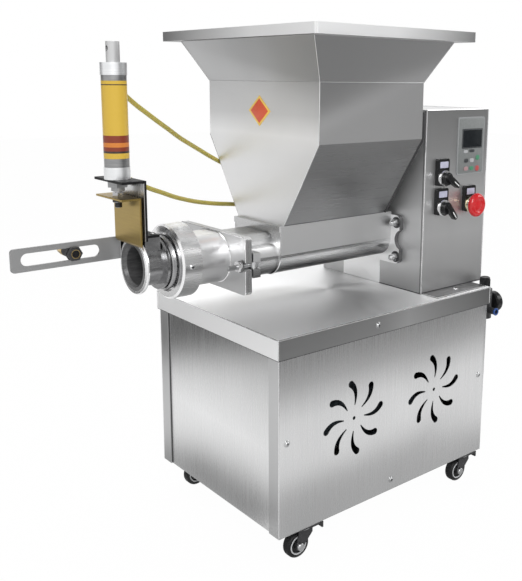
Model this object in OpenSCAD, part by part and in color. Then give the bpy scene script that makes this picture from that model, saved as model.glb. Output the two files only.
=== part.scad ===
// Twin-screw dough divider on a wheeled cabinet. Millimetres, +Z up.
// Dough falls from the hopper onto two counter-rotating screws, leaves through the
// nozzle along -X and is cut off by a knife on an air cylinder.

/* [Cabinet] */
// Length of the cabinet, along the screws
cabinet_l = 504; // [470:1:540]
// Width of the cabinet
cabinet_w = 363; // [340:1:390]
// Height of the cabinet panels
cabinet_h = 300; // [280:1:330]
// Thickness of the cabinet panels
panel_t = 1.5; // [1:0.1:2.5]
// Leg width of the corner posts
post_w = 25; // [22:1:30]
// Thickness of the corner posts
post_t = 3; // [2:0.5:4]
// Side of the square rails under the worktop
rail_s = 20; // [15:1:22]
// Height of the folded lips of the bottom tray
tray_lip = 30; // [26:1:40]
// Thickness of the bottom tray
tray_t = 2; // [1.5:0.5:3]

/* [Vents] */
// Distance between the two pinwheel vents
vent_pitch = 200; // [190:1:220]
// Height of the vent centres above the cabinet's lower edge
vent_h = 163; // [150:1:175]
// Outer radius of a vent
vent_r = 68.5; // [55:0.5:75]
// Radius where the petals begin
vent_hub_r = 23; // [18:1:30]
// Widest part of a petal
petal_w = 12; // [8:0.5:15]

/* [Worktop] */
// Height of the worktop's apron
deck_h = 33.5; // [30:0.5:45]
// Overhang of the worktop over the cabinet
deck_over = 3.3; // [2.5:0.1:8]
// Sheet thickness of the worktop
deck_t = 2; // [1.5:0.5:3]

/* [Casters] */
// Height of the casters, floor to cabinet
caster_h = 60; // [58:1:75]
// Diameter of a caster wheel
wheel_d = 45; // [38:1:46]
// Width of a caster wheel
wheel_w = 17; // [14:0.5:18]
// Distance from the swivel axis back to the axle
caster_trail = 11; // [9:1:16]
// Inset of the left swivel axes from the cabinet's end
caster_in_left = 64; // [40:1:80]
// Inset of the right swivel axes from the cabinet's end
caster_in_right = 34; // [30:1:60]
// Inset of the swivel axes from the cabinet's long sides
caster_in_side = 23.5; // [23:0.5:40]

/* [Tower] */
// Length of the control tower along X
tower_l = 173; // [165:1:190]
// Set-back of the tower's front and rear from the cabinet's panels
tower_inset = 43.5; // [31.5:0.5:51.5]
// Height of the control tower
tower_h = 336.5; // [325:0.5:360]
// How far the tower reaches past the worktop's end
tower_over = 28.7; // [20:0.1:40]
// Sheet thickness of the tower
tower_t = 2; // [1.5:0.5:3]

/* [Controls] */
// Width of a switch legend plate
legend_w = 30; // [29:0.5:34]
// Height of a switch legend plate
legend_h = 49; // [46:0.5:50]
// Thickness of a switch legend plate
legend_t = 8; // [4:0.5:10]
// Radius of a switch bezel
bezel_r = 14.5; // [13:0.5:14.5]
// Radius of the stop button's mushroom head
stop_r = 20; // [17:0.5:22]
// Travel of the stop button
stop_travel = 4; // [3:0.5:5]
// Width of the display module
display_w = 76; // [70:1:78]
// Height of the display module
display_h = 107; // [95:1:112]

/* [Feed barrel] */
// Height of the screw axes above the worktop
axis_h = 97.5; // [92:0.5:110]
// Distance between the two screw axes
screw_pitch_c = 50; // [49:0.5:53]
// Outer radius of a screw flight
screw_r = 33; // [31:0.5:33.5]
// Root radius of a screw
screw_root = 14; // [12:0.5:15]
// Lead of a screw
screw_lead = 46; // [40:1:60]
// Gap between a screw and its bore
screw_gap = 1; // [0.8:0.1:1.5]
// Wall of the barrel around the screws
barrel_wall = 3; // [2.5:0.5:4]
// Length of the trough in front of the tower
trough_l = 271; // [268:1:300]
// Half width of the trough's flat sides
trough_half = 66; // [64:0.5:70]
// Height of the trough above the screw axes
trough_rise = 50; // [44:0.5:60]
// Length of the neck between trough and outlet head
neck_l = 81; // [70:1:100]

/* [Hopper] */
// Distance from the trough's front to the hopper's centre
hopper_set = 124; // [122:1:130]
// Half length of the hopper body along X
hopper_half = 117; // [112:1:119]
// Half width of the hopper body along Y
hopper_half_y = 155; // [140:1:170]
// Height of the lower taper
taper_h = 141; // [120:1:160]
// Height of the straight body
body_h = 96; // [80:1:120]
// Height of the flare
flare_h = 68; // [50:1:90]
// Outward run of the flare along X
flare_x = 38; // [25:1:45]
// Outward run of the flare along Y
flare_y = 32; // [25:1:45]
// Width of the rim flange along X
rim_x = 22; // [15:1:30]
// Width of the rim flange along Y
rim_y = 30; // [15:1:35]
// Height of the rim's folded lip
rim_h = 16.5; // [12:0.5:25]
// Sheet thickness of the hopper
hopper_t = 2; // [1.5:0.5:3]

/* [Outlet] */
// Rise of the nozzle axis above the screw axes
nozzle_rise = 4.5; // [3:0.5:5]
// Thickness of the head flange
head_flange_t = 12; // [9:0.5:16]
// Half width of the head flange
head_half_y = 97; // [96:0.5:105]
// Half height of the head flange
head_half_z = 46.5; // [44:0.5:52]
// Length of the head body
head_l = 55; // [45:1:70]
// Radius of the locking ring
ring_r = 60; // [57:0.5:66]
// Width of the locking ring
ring_l = 34; // [30:1:40]
// Inner radius of the nozzle
nozzle_bore = 30; // [26:0.5:30.5]
// Wall of the nozzle tube
nozzle_wall = 3.3; // [2:0.1:4]
// Length of the nozzle in front of the head body
nozzle_l = 88; // [85:1:100]
// Radius of the nozzle's lip
lip_r = 44.5; // [41:0.5:45]
// Thickness of the nozzle's lip
lip_t = 7; // [5:0.5:9]

/* [Cutter] */
// Gap between the knife and the nozzle's lip
knife_gap = 4; // [3.5:0.5:6]
// Thickness of the knife
knife_t = 3; // [2:0.5:4]
// Width of the knife
knife_w = 84; // [78:1:86]
// Height of the knife plate
knife_h = 76; // [70:1:85]
// Stroke of the knife
knife_stroke = 75; // [60:1:75]
// Plate thickness of the cutter bracket
bracket_t = 4; // [3:0.5:5]
// Reach of the knife's and the bracket's upper plates
reach = 32; // [28:1:36]
// Outer radius of the cylinder tube
cyl_r = 18.5; // [17.5:0.5:21]
// Wall of the cylinder tube
cyl_wall = 2.5; // [1.5:0.5:3]
// Length of the cylinder tube
cyl_l = 134; // [128:1:160]
// Height of a cylinder cap
cap_h = 18; // [17:1:24]
// Radius of the piston rod
rod_r = 5; // [4:0.5:6]

/* [Sensor] */
// Length of the sensor arm from its bracket to its tip
arm_l = 202; // [190:1:240]
// Height of the sensor arm
arm_h = 36; // [30:1:40]
// Thickness of the sensor arm
arm_t = 3; // [2:0.5:4]
// Length of the slot in the sensor arm
slot_l = 123; // [100:1:130]
// Radius of the sensor's threaded barrel
sensor_r = 9; // [6:0.5:10]
// Distance of the sensor from the slot's front end, at rest
sensor_set = 81; // [30:1:85]

/* [Drive] */
// Number of teeth on each timing gear
gear_teeth = 20; // [18:2:24]
// Width of the timing gears
gear_w = 26; // [20:1:30]
// Radius of the screw shafts
shaft_r = 10; // [8:0.5:11]
// Height of the motor axis above the tray
motor_rise = 88; // [80:1:110]
// Radius of the motor
motor_r = 60; // [50:1:65]
// Length of the motor
motor_l = 180; // [150:1:200]
// Belt radius on the driven pulley
pulley_r = 54; // [45:1:60]
// Belt radius on the motor pulley
motor_pulley_r = 28; // [24:1:34]
// Width of the belt
belt_w = 10; // [8:0.5:13]
// Thickness of the belt
belt_t = 8; // [6:0.5:9]

/* [Air supply] */
// Radius of the regulator body
regulator_r = 15; // [13:0.5:17]
// Radius of the regulator knob
knob_r = 10.5; // [9:0.5:15]
// Radius of the pressure gauge
gauge_r = 20.5; // [18:0.5:25]
// Depth of the pressure gauge
gauge_d = 15; // [12:1:25]
// Diameter of the air hoses
hose_d = 8; // [6:1:10]

/* [Fits] */
// Radial gap of a running shaft
run_gap = 0.05; // [0.02:0.01:0.1]
// Gap between parts that slide past each other
slide_gap = 0.4; // [0.3:0.1:0.8]
// Gap around a fixed screw or insert
hole_gap = 0.2; // [0.1:0.05:0.4]

/* [Hidden] */
$fn = 64;
eps = 1;

half_l = cabinet_l / 2;
half_w = cabinet_w / 2;
panel_top = caster_h + cabinet_h;
deck_z = panel_top + deck_h;
deck_under = deck_z - deck_t;
deck_half_l = half_l + deck_over;
deck_half_w = half_w + deck_over;
post_y = half_w - panel_t;
tray_z = caster_h + tray_t;

// Places along X, from the tower's face to the knife
tower_x0 = deck_half_l + tower_over - tower_l;
tower_x1 = tower_x0 + tower_l;
tower_y = half_w - tower_inset;
tower_z1 = deck_z + tower_h;
wall_x = tower_x0 + tower_t;
trough_x0 = tower_x0 - trough_l;
neck_x0 = trough_x0 - neck_l;
head_x0 = neck_x0 - head_flange_t;
body_x0 = head_x0 - head_l;
ring_x0 = body_x0 - ring_l;
nozzle_x0 = body_x0 - nozzle_l;
knife_x1 = nozzle_x0 - knife_gap;
knife_x0 = knife_x1 - knife_t;
rod_x = knife_x1 - reach / 2;

// Screws and barrel
axis_z = deck_z + axis_h;
screw_c = screw_pitch_c / 2;
bore_r = screw_r + screw_gap;
neck_r = bore_r + barrel_wall;
trough_top = axis_z + trough_rise;
trough_c = trough_half - neck_r;
end_wall = 16;
screw_x0 = neck_x0 + 3;
screw_x1 = tower_x0 - end_wall - slide_gap;
flight_t = 9;
collar_h = 10;
collar_t = 3;

// Rear flange and its studs
flange_t = 10;
flange_half_y = 88;
flange_half_z = 46;
flange_drop = 2;
stud_y = 80;
stud_z = 32.5;
stud_r = 4;
stud_nut_r = 7.5;
stud_nut_h = 7;
stud_out = 16;

// Outlet head
nozzle_z = axis_z + nozzle_rise;
head_wall = 7;
head_r = bore_r + head_wall;
head_c = screw_c - 10;
head_lift = 3;
spigot_r = ring_r - 6;
spigot_l = 10;
seat_t = 5;
nozzle_flange_r = spigot_r - 5.7;
nozzle_flange_t = spigot_l + slide_gap;
tube_r = nozzle_bore + nozzle_wall;
neck_tube_r = tube_r + 3.7;
collar_r = neck_tube_r + 7;
recess_d = 7;
ring_edge = 3;

// Swing bolts that hold the head to the barrel
lug_gap = 3;
lug_l = 14;
lug_half_z = 20;
swing_x = neck_x0 + lug_gap + lug_l / 2;
swing_y = head_half_y - 9;
swing_pin_r = 3;
swing_eye_r = 8;
swing_eye_h = 10;
swing_bolt_r = 4;
swing_nut_r = 8.5;
swing_nut_h = 8;
swing_nut_gap = 3;
swing_end = 24;

// Knife, bracket and cylinder
knife_z0 = nozzle_z + nozzle_bore + 5.5;
knife_z1 = knife_z0 + knife_h;
rod_nut_r = 9;
rod_nut_h = 6;
rod_tail = 8;
nose_r = 10;
nose_h = 14;
nose_nut_r = 16;
nose_nut_h = 8;
bracket_z = nozzle_z + lip_r + 1;
bracket_top = knife_z1 + rod_nut_h + 2 + nose_h + bracket_t;
bracket_half = knife_w / 2 + 4;
bracket_x0 = knife_x1 + 3;
pad_x0 = nozzle_x0 + lip_t + 3;
pad_x1 = ring_x0 - 18;
pad_half = 22;
pad_screw_in = 6.5;
pad_screw_y = -12;
cap_r = cyl_r + 1;
cap_z = bracket_top;
tube_z = cap_z + cap_h;
head_cap_z = tube_z + cyl_l;
boss_z = head_cap_z + cap_h;
boss_r = 10;
boss_h = 30;
boss_hole_r = 4;
piston_h = 15;
piston_top_gap = 5;

// Push-in air fittings
port_angle = 65;
thread_r = 5;
thread_l = 7;
fitting_hex_r = 7.5;
fitting_hex_l = 8;
fitting_sleeve_r = 6.2;
fitting_sleeve_l = 12;

// Solenoid valve on the tower's face, behind the hopper
valve_l = 48;
valve_y0 = flange_half_y + 2;
valve_w = 30;
valve_z0 = axis_z + 14;
valve_h = 50;
valve_port_c = 24;

// Sensor arm
arm_x1 = pad_x1 - 2;
arm_x0 = arm_x1 - arm_l;
arm_y = bracket_half + bracket_t;
arm_z = nozzle_z + 21.5;
arm_end_r = 6;
slot_x0 = arm_x0 + 15;
slot_x1 = slot_x0 + slot_l;
slot_half = sensor_r + 0.5;
sensor_x = slot_x0 + sensor_set;
sensor_nut_r = sensor_r + 3;
sensor_nut_h = 6;
sensor_tail = 42;
arm_screw_in = 9;

// Hopper
hopper_x = trough_x0 + hopper_set;
taper_z = trough_top + taper_h;
body_z = taper_z + body_h;
flare_z = body_z + flare_h;
rim_z = flare_z + rim_h;
flare_half_x = hopper_half + flare_x;
flare_half_y = hopper_half_y + flare_y;
rim_half_x = flare_half_x + rim_x;
rim_half_y = flare_half_y + rim_y;
rim_slit = 2;

// Timing gears, case and bearings
gear_pitch_r = screw_c;
gear_module = screw_pitch_c / gear_teeth;
gear_tip_r = gear_pitch_r + 0.9 * gear_module;
gear_root_r = gear_pitch_r - 1.2 * gear_module;
gear_flank = 0.21;
case_plate = 8;
case_wall = 5;
case_half_y = screw_c + gear_tip_r + 4;
case_half_z = gear_tip_r + 4;
case_gap = 8;
gear_x0 = wall_x + case_plate + case_gap;
case_rear_x = gear_x0 + gear_w + case_gap;
case_x1 = case_rear_x + case_plate;
bearing_r = shaft_r + 7;
wall_hole_r = shaft_r + 4;

// Belt drive
motor_z = tray_z + motor_rise;
belt_x = case_x1 + 24;
pulley_half = belt_w / 2 + 4;
pulley_lip = belt_t + 1;
belt_steps = 24;
shaft_end = belt_x + pulley_half + 3;
gearbox_half = motor_r;
gearbox_l = 90;
gearbox_x1 = belt_x - pulley_half - 26;
gearbox_x0 = gearbox_x1 - gearbox_l;
motor_x0 = gearbox_x0 - motor_l;
motor_shaft_r = shaft_r - 1;
motor_shaft_in = 12;
foot_h = motor_rise - gearbox_half;
foot_out = 22;
foot_in = 10;
slot_belt_x = pulley_half + 5;
slot_belt_y = pulley_r + belt_t + 4;
drive_y = -screw_c;

// Controls on the tower's front
selector_x = tower_x0 + 42;
selector_z = [deck_z + 224.5, deck_z + 170.5];
selector_turn = [-35, -50];
stop_x = tower_x0 + 120.5;
stop_z = deck_z + 170;
switch_drop = 11;
switch_bezel_h = 6;
switch_stem_r = 11;
switch_stem_in = 6;
switch_block = [28, 36, 30];
spindle_r = 5;
spindle_l = 10;
selector_cap_r = 11.5;
selector_cap_h = 8;
lever_l = 26;
lever_back = 10;
lever_w = 9;
lever_h = 9;
stop_stem_r = 8;
stop_stem_l = 9;
stop_head_h = 15;
stop_neck = stop_travel + 1;
display_from_end = 50;
display_from_top = 67.5;
display_x = tower_x1 - display_from_end;
display_z = tower_z1 - display_from_top;
display_t = 2;
display_in = 6;
display_d = 45;
inverter_size = [50, 90, 140];
inverter_y = 10;
inverter_up = 150;
inverter_z = deck_z + inverter_up;
floor_rim = 14;

// Regulator at the cabinet's right end
reg_x = deck_half_l + regulator_r + 1.7;
reg_y = -(half_w - 22.5);
reg_z0 = panel_top - 35;
reg_z1 = panel_top + 23;
plate_t = 3;
plate_half = 14;
plate_z0 = panel_top - 50;
plate_h = 46;
reg_arm_half = 8;
reg_arm_z = panel_top - 30;
reg_arm_h = 20;
knob_h = 23;
knob_stem_r = 6;
knob_stem_l = 9;
gauge_z = panel_top - 8;
gauge_stem_r = 5;
gauge_stem_in = 6;
gauge_x0 = reg_x + regulator_r + 3;
gauge_x1 = gauge_x0 + gauge_d;
inlet_z = panel_top - 18;
inlet_r = 6.5;
inlet_l = 15;
inlet_bore_r = 4.05;
inlet_bore_l = 14;

// Casters
wheel_r = wheel_d / 2;
caster_plate_half = 23;
caster_plate_t = 3;
king_r = 5;
king_l = 10;
crown_r = 15;
crown_h = 9;
crown_z1 = caster_h - caster_plate_t - slide_gap;
crown_z0 = crown_z1 - crown_h;
leg_t = 2;
leg_gap = 1;
leg_y = wheel_w / 2 + leg_gap;
axle_r = 3;
axle_head_r = 5.5;
axle_head_h = 2.5;
leg_eye_r = 8;
pedal_x = 12;
pedal_z = crown_z0 - 5;
pedal_pin_r = 2.5;
pedal_eye_r = 4.5;
pedal_l = 30;
pedal_t = 3;
pedal_half = leg_y - slide_gap;
caster_x = [-half_l + caster_in_left, half_l - caster_in_right];
caster_y = half_w - caster_in_side;

// Small screws: head and shank
screw_head_r = 4;
screw_head_h = 2.4;
screw_shank_r = 2;
screw_hole_r = screw_shank_r + hole_gap;
panel_screw_in = 16;
panel_screw_z = caster_h + 160;
tray_screw_z = caster_h + 19.5;
apron_screw_x = -44;
apron_screw_z = panel_top + deck_h / 2;
gland_x = -150;
gland_z = caster_h + 50;
gland_r = 11;
gland_thread_r = 8;
gland_l = 18;
gland_in = 10;
gland_bore_r = 4.5;

// Petals of a pinwheel vent
petals = 8;
petal_lean = -2.75;
petal_curl = 25;
petal_back = 15;
petal_root = 0.16;
petal_steps = 8;
petal_end_steps = 6;
petal_probe = 0.01;
vent_mid_x = 7;
vent_eye_r = 3.2;

// Air hoses: hand-chosen points between the cylinder's fittings and the valve's
hose_sides = 10;
hose_stub = 12;
hose_clear = 0.1;
upper_route = [
    [-384, 64, 788], [-378, 72, 776], [-366, 76, 760], [-346, 77, 742], [-322, 79, 725],
    [-298, 85, 710], [-272, 94, 695], [-248, 103, 681], [-222, 112, 668], [-196, 120, 655],
    [-170, 128, 642], [-144, 135, 630], [-116, 140, 617], [-88, 142, 604], [-60, 140, 590],
    [-34, 134, 575], [-10, 124, 561], [10, 112, 549]
];
lower_route = [
    [-382, 64, 637], [-366, 70, 625], [-346, 71, 613], [-322, 74, 602], [-298, 79, 593],
    [-272, 86, 583], [-246, 94, 575], [-220, 102, 568], [-192, 110, 562], [-164, 117, 557],
    [-136, 123, 553], [-108, 127, 549], [-80, 128, 544], [-52, 126, 539], [-26, 120, 532],
    [-4, 112.5, 525], [12, 107.5, 520]
];

// The object's box runs from the arm's tip to the gauge's face, centred on the origin
frame_shift = -(arm_x0 + gauge_x1) / 2;

function valve_port_z(side) = valve_z0 + valve_h / 2 + side * valve_port_c / 2;
function fitting_l() = fitting_hex_l + fitting_sleeve_l;
function cap_port(z, out) =
    let (r = cap_r + 0.7 + fitting_l() + out)
    [rod_x + r * cos(port_angle), r * sin(port_angle), z];
function valve_port(side, out) =
    [tower_x0 - valve_l - fitting_l() - out, valve_y0 + valve_w / 2, valve_port_z(side)];

module placed() { translate([frame_shift, 0, 0]) children(); }

// Turns a flat outline so that its x runs along Y, its y along Z, and it extrudes along X
module along_x(x0, y = 0, z = 0) { translate([x0, y, z]) rotate([90, 0, 90]) children(); }

// Turns a flat outline so that its x runs along X, its y along Z, and it extrudes along -Y
module along_front(x, y, z) { translate([x, y, z]) rotate([90, 0, 0]) children(); }

// Extrudes along +Y
module along_back(x, y, z) { translate([x, y, z]) rotate([-90, 0, 0]) children(); }

module box(a, b) { translate(a) cube(b - a); }

module obround(c, r) {
    for (s = [-1, 1]) translate([s * c, 0]) circle(r);
    translate([-c, -r]) square([2 * c, 2 * r]);
}

module round_rect(hx, hy, r) {
    for (sx = [-1, 1], sy = [-1, 1]) translate([sx * (hx - r), sy * (hy - r)]) circle(r);
    translate([-hx, r - hy]) square([2 * hx, 2 * (hy - r)]);
    translate([r - hx, -hy]) square([2 * (hx - r), 2 * hy]);
}

module hex(r, h) { cylinder(r = r, h = h, $fn = 6); }

// A rectangular funnel section, half sizes below and above
module funnel(x0, y0, x1, y1, h) {
    polyhedron(
        points = [
            [-x0, -y0, 0], [x0, -y0, 0], [x0, y0, 0], [-x0, y0, 0],
            [-x1, -y1, h], [x1, -y1, h], [x1, y1, h], [-x1, y1, h]
        ],
        faces = [
            [0, 1, 2, 3], [4, 5, 1, 0], [7, 6, 5, 4],
            [5, 6, 2, 1], [6, 7, 3, 2], [7, 4, 0, 3]
        ]
    );
}

// Cabinet
module post_outline() {
    square([post_w, post_t]);
    square([post_t, post_w]);
}

module cabinet_frame() color("silver") {
    inner_x = half_l - post_t;
    inner_y = post_y - post_t;
    rail_z = deck_under - rail_s;
    difference() {
        for (sx = [0, 1], sy = [0, 1])
            mirror([sx, 0, 0]) mirror([0, sy, 0])
                translate([-half_l, -post_y, caster_h])
                    linear_extrude(deck_under - caster_h) post_outline();
        for (sx = [-1, 1], sy = [0, 1])
            mirror([0, sy, 0])
                along_back(sx * (half_l - panel_screw_in), -half_w - eps, panel_screw_z)
                    cylinder(r = screw_hole_r, h = panel_t + post_t + 2 * eps);
    }
    difference() {
        for (sy = [0, 1])
            mirror([0, sy, 0]) box([-inner_x, -inner_y, rail_z], [inner_x, rail_s - inner_y, deck_under]);
        along_back(apron_screw_x, -deck_half_w, apron_screw_z) cylinder(r = screw_hole_r, h = rail_s);
    }
    for (sx = [0, 1])
        mirror([sx, 0, 0])
            box([-inner_x, rail_s - inner_y, rail_z], [rail_s - inner_x, inner_y - rail_s, deck_under]);
}

module bottom_tray() color("silver") {
    tray_x = half_l - post_t - panel_t;
    tray_y = post_y - post_t;
    lip_x = half_l - post_w - slide_gap;
    difference() {
        union() {
            box([-tray_x, -tray_y, caster_h], [tray_x, tray_y, tray_z]);
            for (sy = [0, 1])
                mirror([0, sy, 0]) {
                    box([-lip_x, -post_y, caster_h], [lip_x, -tray_y, tray_z]);
                    box([-lip_x, -post_y, caster_h], [lip_x, tray_t - post_y, caster_h + tray_lip]);
                }
        }
        for (sy = [0, 1])
            mirror([0, sy, 0])
                along_back(0, -half_w, tray_screw_z) cylinder(r = screw_hole_r, h = tray_lip);
    }
}

module worktop() color("gainsboro") difference() {
    box([-deck_half_l, -deck_half_w, panel_top], [deck_half_l, deck_half_w, deck_z]);
    box(
        [deck_t - deck_half_l, deck_t - deck_half_w, panel_top - eps],
        [deck_half_l - deck_t, deck_half_w - deck_t, deck_under]
    );
    box(
        [belt_x - slot_belt_x, drive_y - slot_belt_y, panel_top],
        [belt_x + slot_belt_x, drive_y + slot_belt_y, deck_z + eps]
    );
    along_back(apron_screw_x, -deck_half_w - eps, apron_screw_z)
        cylinder(r = screw_hole_r, h = deck_t + 2 * eps);
}

// Centre line of a petal from its root at t = 0 to the middle of its round end at t = 1
function petal_mid(t) =
    let (r = vent_hub_r + (vent_r - petal_w / 2 - vent_hub_r) * t)
    let (a = petal_lean + petal_curl * t * t - petal_back * t)
    [r * cos(a), r * sin(a)];

function petal_heading(t) =
    let (way = petal_mid(t + petal_probe) - petal_mid(t - petal_probe))
    atan2(way.y, way.x);

function petal_side(t, turn) =
    let (half = petal_w / 2 * (petal_root + (1 - petal_root) * t))
    let (a = petal_heading(t) + turn)
    petal_mid(t) + half * [cos(a), sin(a)];

module petal() {
    n = petal_steps;
    m = petal_end_steps;
    polygon(concat(
        [for (i = [0 : n]) petal_side(i / n, -90)],
        [for (i = [1 : m - 1]) petal_side(1, -90 + 180 * i / m)],
        [for (i = [n : -1 : 0]) petal_side(i / n, 90)]
    ));
}

module pinwheel() {
    circle(vent_eye_r);
    for (i = [0 : petals - 1]) rotate(i * 360 / petals) petal();
}

// Holes in a long panel, drawn with x along X and y up from the cabinet's lower edge
module panel_holes() {
    for (sx = [-1, 1])
        translate([sx * (half_l - panel_screw_in), panel_screw_z - caster_h]) circle(screw_hole_r);
    translate([0, tray_screw_z - caster_h]) circle(screw_hole_r);
}

module front_panel() color("lightgray")
    along_front(0, panel_t - half_w, caster_h) linear_extrude(panel_t) difference() {
        translate([-half_l, 0]) square([cabinet_l, cabinet_h]);
        panel_holes();
        for (s = [-1, 1]) translate([vent_mid_x + s * vent_pitch / 2, vent_h]) pinwheel();
    }

module rear_panel() color("lightgray")
    along_front(0, half_w, caster_h) linear_extrude(panel_t) difference() {
        translate([-half_l, 0]) square([cabinet_l, cabinet_h]);
        panel_holes();
        translate([gland_x, gland_z - caster_h]) circle(gland_thread_r + hole_gap);
    }

module end_panels() color("lightgray") {
    x1 = half_l - post_t;
    y1 = post_y - post_t;
    for (sx = [0, 1]) mirror([sx, 0, 0]) box([-x1, -y1, caster_h], [panel_t - x1, y1, panel_top]);
}

module power_gland() color("dimgray") difference() {
    union() {
        along_back(gland_x, half_w, gland_z) hex(gland_r, gland_l / 2);
        along_back(gland_x, half_w + gland_l / 2, gland_z) cylinder(r = gland_r - 2, h = gland_l / 2);
        along_back(gland_x, half_w - gland_in, gland_z) cylinder(r = gland_thread_r, h = gland_in);
    }
    along_back(gland_x, half_w - gland_in - eps, gland_z)
        cylinder(r = gland_bore_r, h = gland_in + gland_l + 2 * eps);
}

// A pan-head screw: its head stands on z = 0, its shank goes down
module small_screw(l) {
    rotate_extrude()
        polygon([
            [0, -l], [screw_shank_r, -l], [screw_shank_r, 0], [screw_head_r, 0],
            [screw_head_r, screw_head_h * 0.4], [screw_head_r * 0.6, screw_head_h], [0, screw_head_h]
        ]);
}

module machine_screws() color("whitesmoke") {
    panel_l = panel_t + post_t + 2;
    for (sy = [0, 1])
        mirror([0, sy, 0]) {
            for (sx = [-1, 1])
                along_front(sx * (half_l - panel_screw_in), -half_w, panel_screw_z) small_screw(panel_l);
            along_front(0, -half_w, tray_screw_z) small_screw(panel_l);
        }
    along_front(apron_screw_x, -deck_half_w, apron_screw_z) small_screw(rail_s - 4);
    for (x = [pad_x0 + pad_screw_in, pad_x1 - pad_screw_in])
        translate([x, pad_screw_y, bracket_z + bracket_t]) small_screw(bracket_t + 8);
    for (x = [bracket_x0 + bracket_t + arm_screw_in, arm_x1 - arm_screw_in])
        along_back(x, arm_y + arm_t, arm_z) small_screw(arm_t + bracket_t);
    along_front((ring_x0 + body_x0) / 2 - 2, -ring_r, nozzle_z) small_screw(ring_edge + 2);
}

// Casters: numbers 1 and 2 stand at the front, 3 and 4 at the rear, left before right
module at_caster(i) {
    translate([caster_x[i % 2], (i < 2 ? -1 : 1) * caster_y, 0]) children();
}

module caster_plates() color("dimgray")
    for (i = [0 : 3])
        at_caster(i) {
            translate([0, 0, caster_h - caster_plate_t])
                linear_extrude(caster_plate_t) round_rect(caster_plate_half, caster_plate_half, 4);
            translate([0, 0, caster_h - caster_plate_t - king_l]) cylinder(r = king_r, h = king_l);
        }

// Side outline of a fork leg: crown, axle eye and pedal ear
module leg_outline() {
    translate([-caster_trail, wheel_r]) circle(leg_eye_r);
    polygon([
        [-caster_trail - leg_eye_r, wheel_r], [-caster_trail + leg_eye_r * 0.5, wheel_r - leg_eye_r * 0.87],
        [pedal_x + 4, pedal_z - 3], [pedal_x + 4, crown_z0], [-crown_r * 0.8, crown_z0]
    ]);
}

module caster_fork() color("dimgray") {
    difference() {
        translate([0, 0, crown_z0]) cylinder(r = crown_r, h = crown_h);
        translate([0, 0, crown_z0 - eps]) cylinder(r = king_r + run_gap, h = crown_h + 2 * eps);
    }
    for (s = [-1, 1])
        along_front(0, s * (leg_y + leg_t / 2) + leg_t / 2, 0) linear_extrude(leg_t) leg_outline();
    for (s = [-1, 1])
        box(
            [-crown_r * 0.8, s * (leg_y + leg_t / 2) - leg_t / 2, crown_z0],
            [pedal_x + 4, s * (leg_y + leg_t / 2) + leg_t / 2, crown_z0 + 3]
        );
    along_back(-caster_trail, -leg_y - leg_t, wheel_r) cylinder(r = axle_r, h = 2 * (leg_y + leg_t));
    for (s = [0, 1])
        mirror([0, s, 0])
            along_back(-caster_trail, leg_y + leg_t, wheel_r) cylinder(r = axle_head_r, h = axle_head_h);
    along_back(pedal_x, -leg_y - leg_t, pedal_z) cylinder(r = pedal_pin_r, h = 2 * (leg_y + leg_t));
}

module caster_wheel() color("black")
    along_back(-caster_trail, -wheel_w / 2, wheel_r)
        rotate_extrude()
            polygon([
                [axle_r + run_gap, 0], [wheel_r * 0.55, 0], [wheel_r * 0.62, 1.5], [wheel_r * 0.7, 0.5],
                [wheel_r - 2.5, 0.5], [wheel_r, 3], [wheel_r, wheel_w - 3], [wheel_r - 2.5, wheel_w - 0.5],
                [wheel_r * 0.7, wheel_w - 0.5], [wheel_r * 0.62, wheel_w - 1.5],
                [wheel_r * 0.55, wheel_w], [axle_r + run_gap, wheel_w]
            ]);

module brake_pedal() color("dimgray")
    along_back(pedal_x, -pedal_half, pedal_z) difference() {
        linear_extrude(2 * pedal_half) {
            circle(pedal_eye_r);
            translate([0, -pedal_eye_r]) square([pedal_l, pedal_t]);
            translate([pedal_l - pedal_t, -pedal_eye_r]) square([pedal_t, pedal_eye_r * 2.4]);
        }
        translate([0, 0, -eps]) cylinder(r = pedal_pin_r + run_gap, h = 2 * pedal_half + 2 * eps);
        translate([pedal_l * 0.45, -pedal_eye_r - eps, pedal_half * 0.5])
            cube([pedal_l * 0.35, pedal_t + 2 * eps, pedal_half]);
    }

// Drive inside cabinet and tower
module gear_motor() color("slategray") difference() {
    union() {
        along_x(gearbox_x0, drive_y, motor_z)
            linear_extrude(gearbox_l) round_rect(gearbox_half, gearbox_half, 12);
        box(
            [gearbox_x0 + foot_in, drive_y - gearbox_half - foot_out, tray_z],
            [gearbox_x1 - foot_in, drive_y + gearbox_half + foot_out, tray_z + foot_h / 2]
        );
        box(
            [gearbox_x0 + foot_in, drive_y - gearbox_half * 0.7, tray_z],
            [gearbox_x1 - foot_in, drive_y + gearbox_half * 0.7, tray_z + foot_h + 12]
        );
        along_x(motor_x0, drive_y, motor_z) cylinder(r = motor_r - 4, h = motor_l);
        box(
            [gearbox_x0 - motor_l * 0.7, drive_y - motor_r * 0.5, motor_z],
            [gearbox_x0 - motor_l * 0.25, drive_y + motor_r * 0.5, motor_z + motor_r + 18]
        );
    }
    along_x(gearbox_x1 - motor_shaft_in, drive_y, motor_z)
        cylinder(r = motor_shaft_r + run_gap, h = motor_shaft_in + eps);
}

function arc(r, a0, a1, z) =
    [for (i = [0 : belt_steps]) let (a = a0 + (a1 - a0) * i / belt_steps) [r * cos(a), z + r * sin(a)]];

// Loop round both pulleys, grown outward by extra
module belt_outline(extra) {
    drop = axis_z - motor_z;
    t = asin((pulley_r - motor_pulley_r) / drop);
    polygon(concat(
        arc(pulley_r + extra, -t, 180 + t, 0),
        arc(motor_pulley_r + extra, 180 + t, 360 - t, -drop)
    ));
}

module drive_belt() color("black")
    along_x(belt_x - belt_w / 2, drive_y, axis_z) linear_extrude(belt_w) difference() {
        belt_outline(belt_t);
        belt_outline(0);
    }

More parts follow.
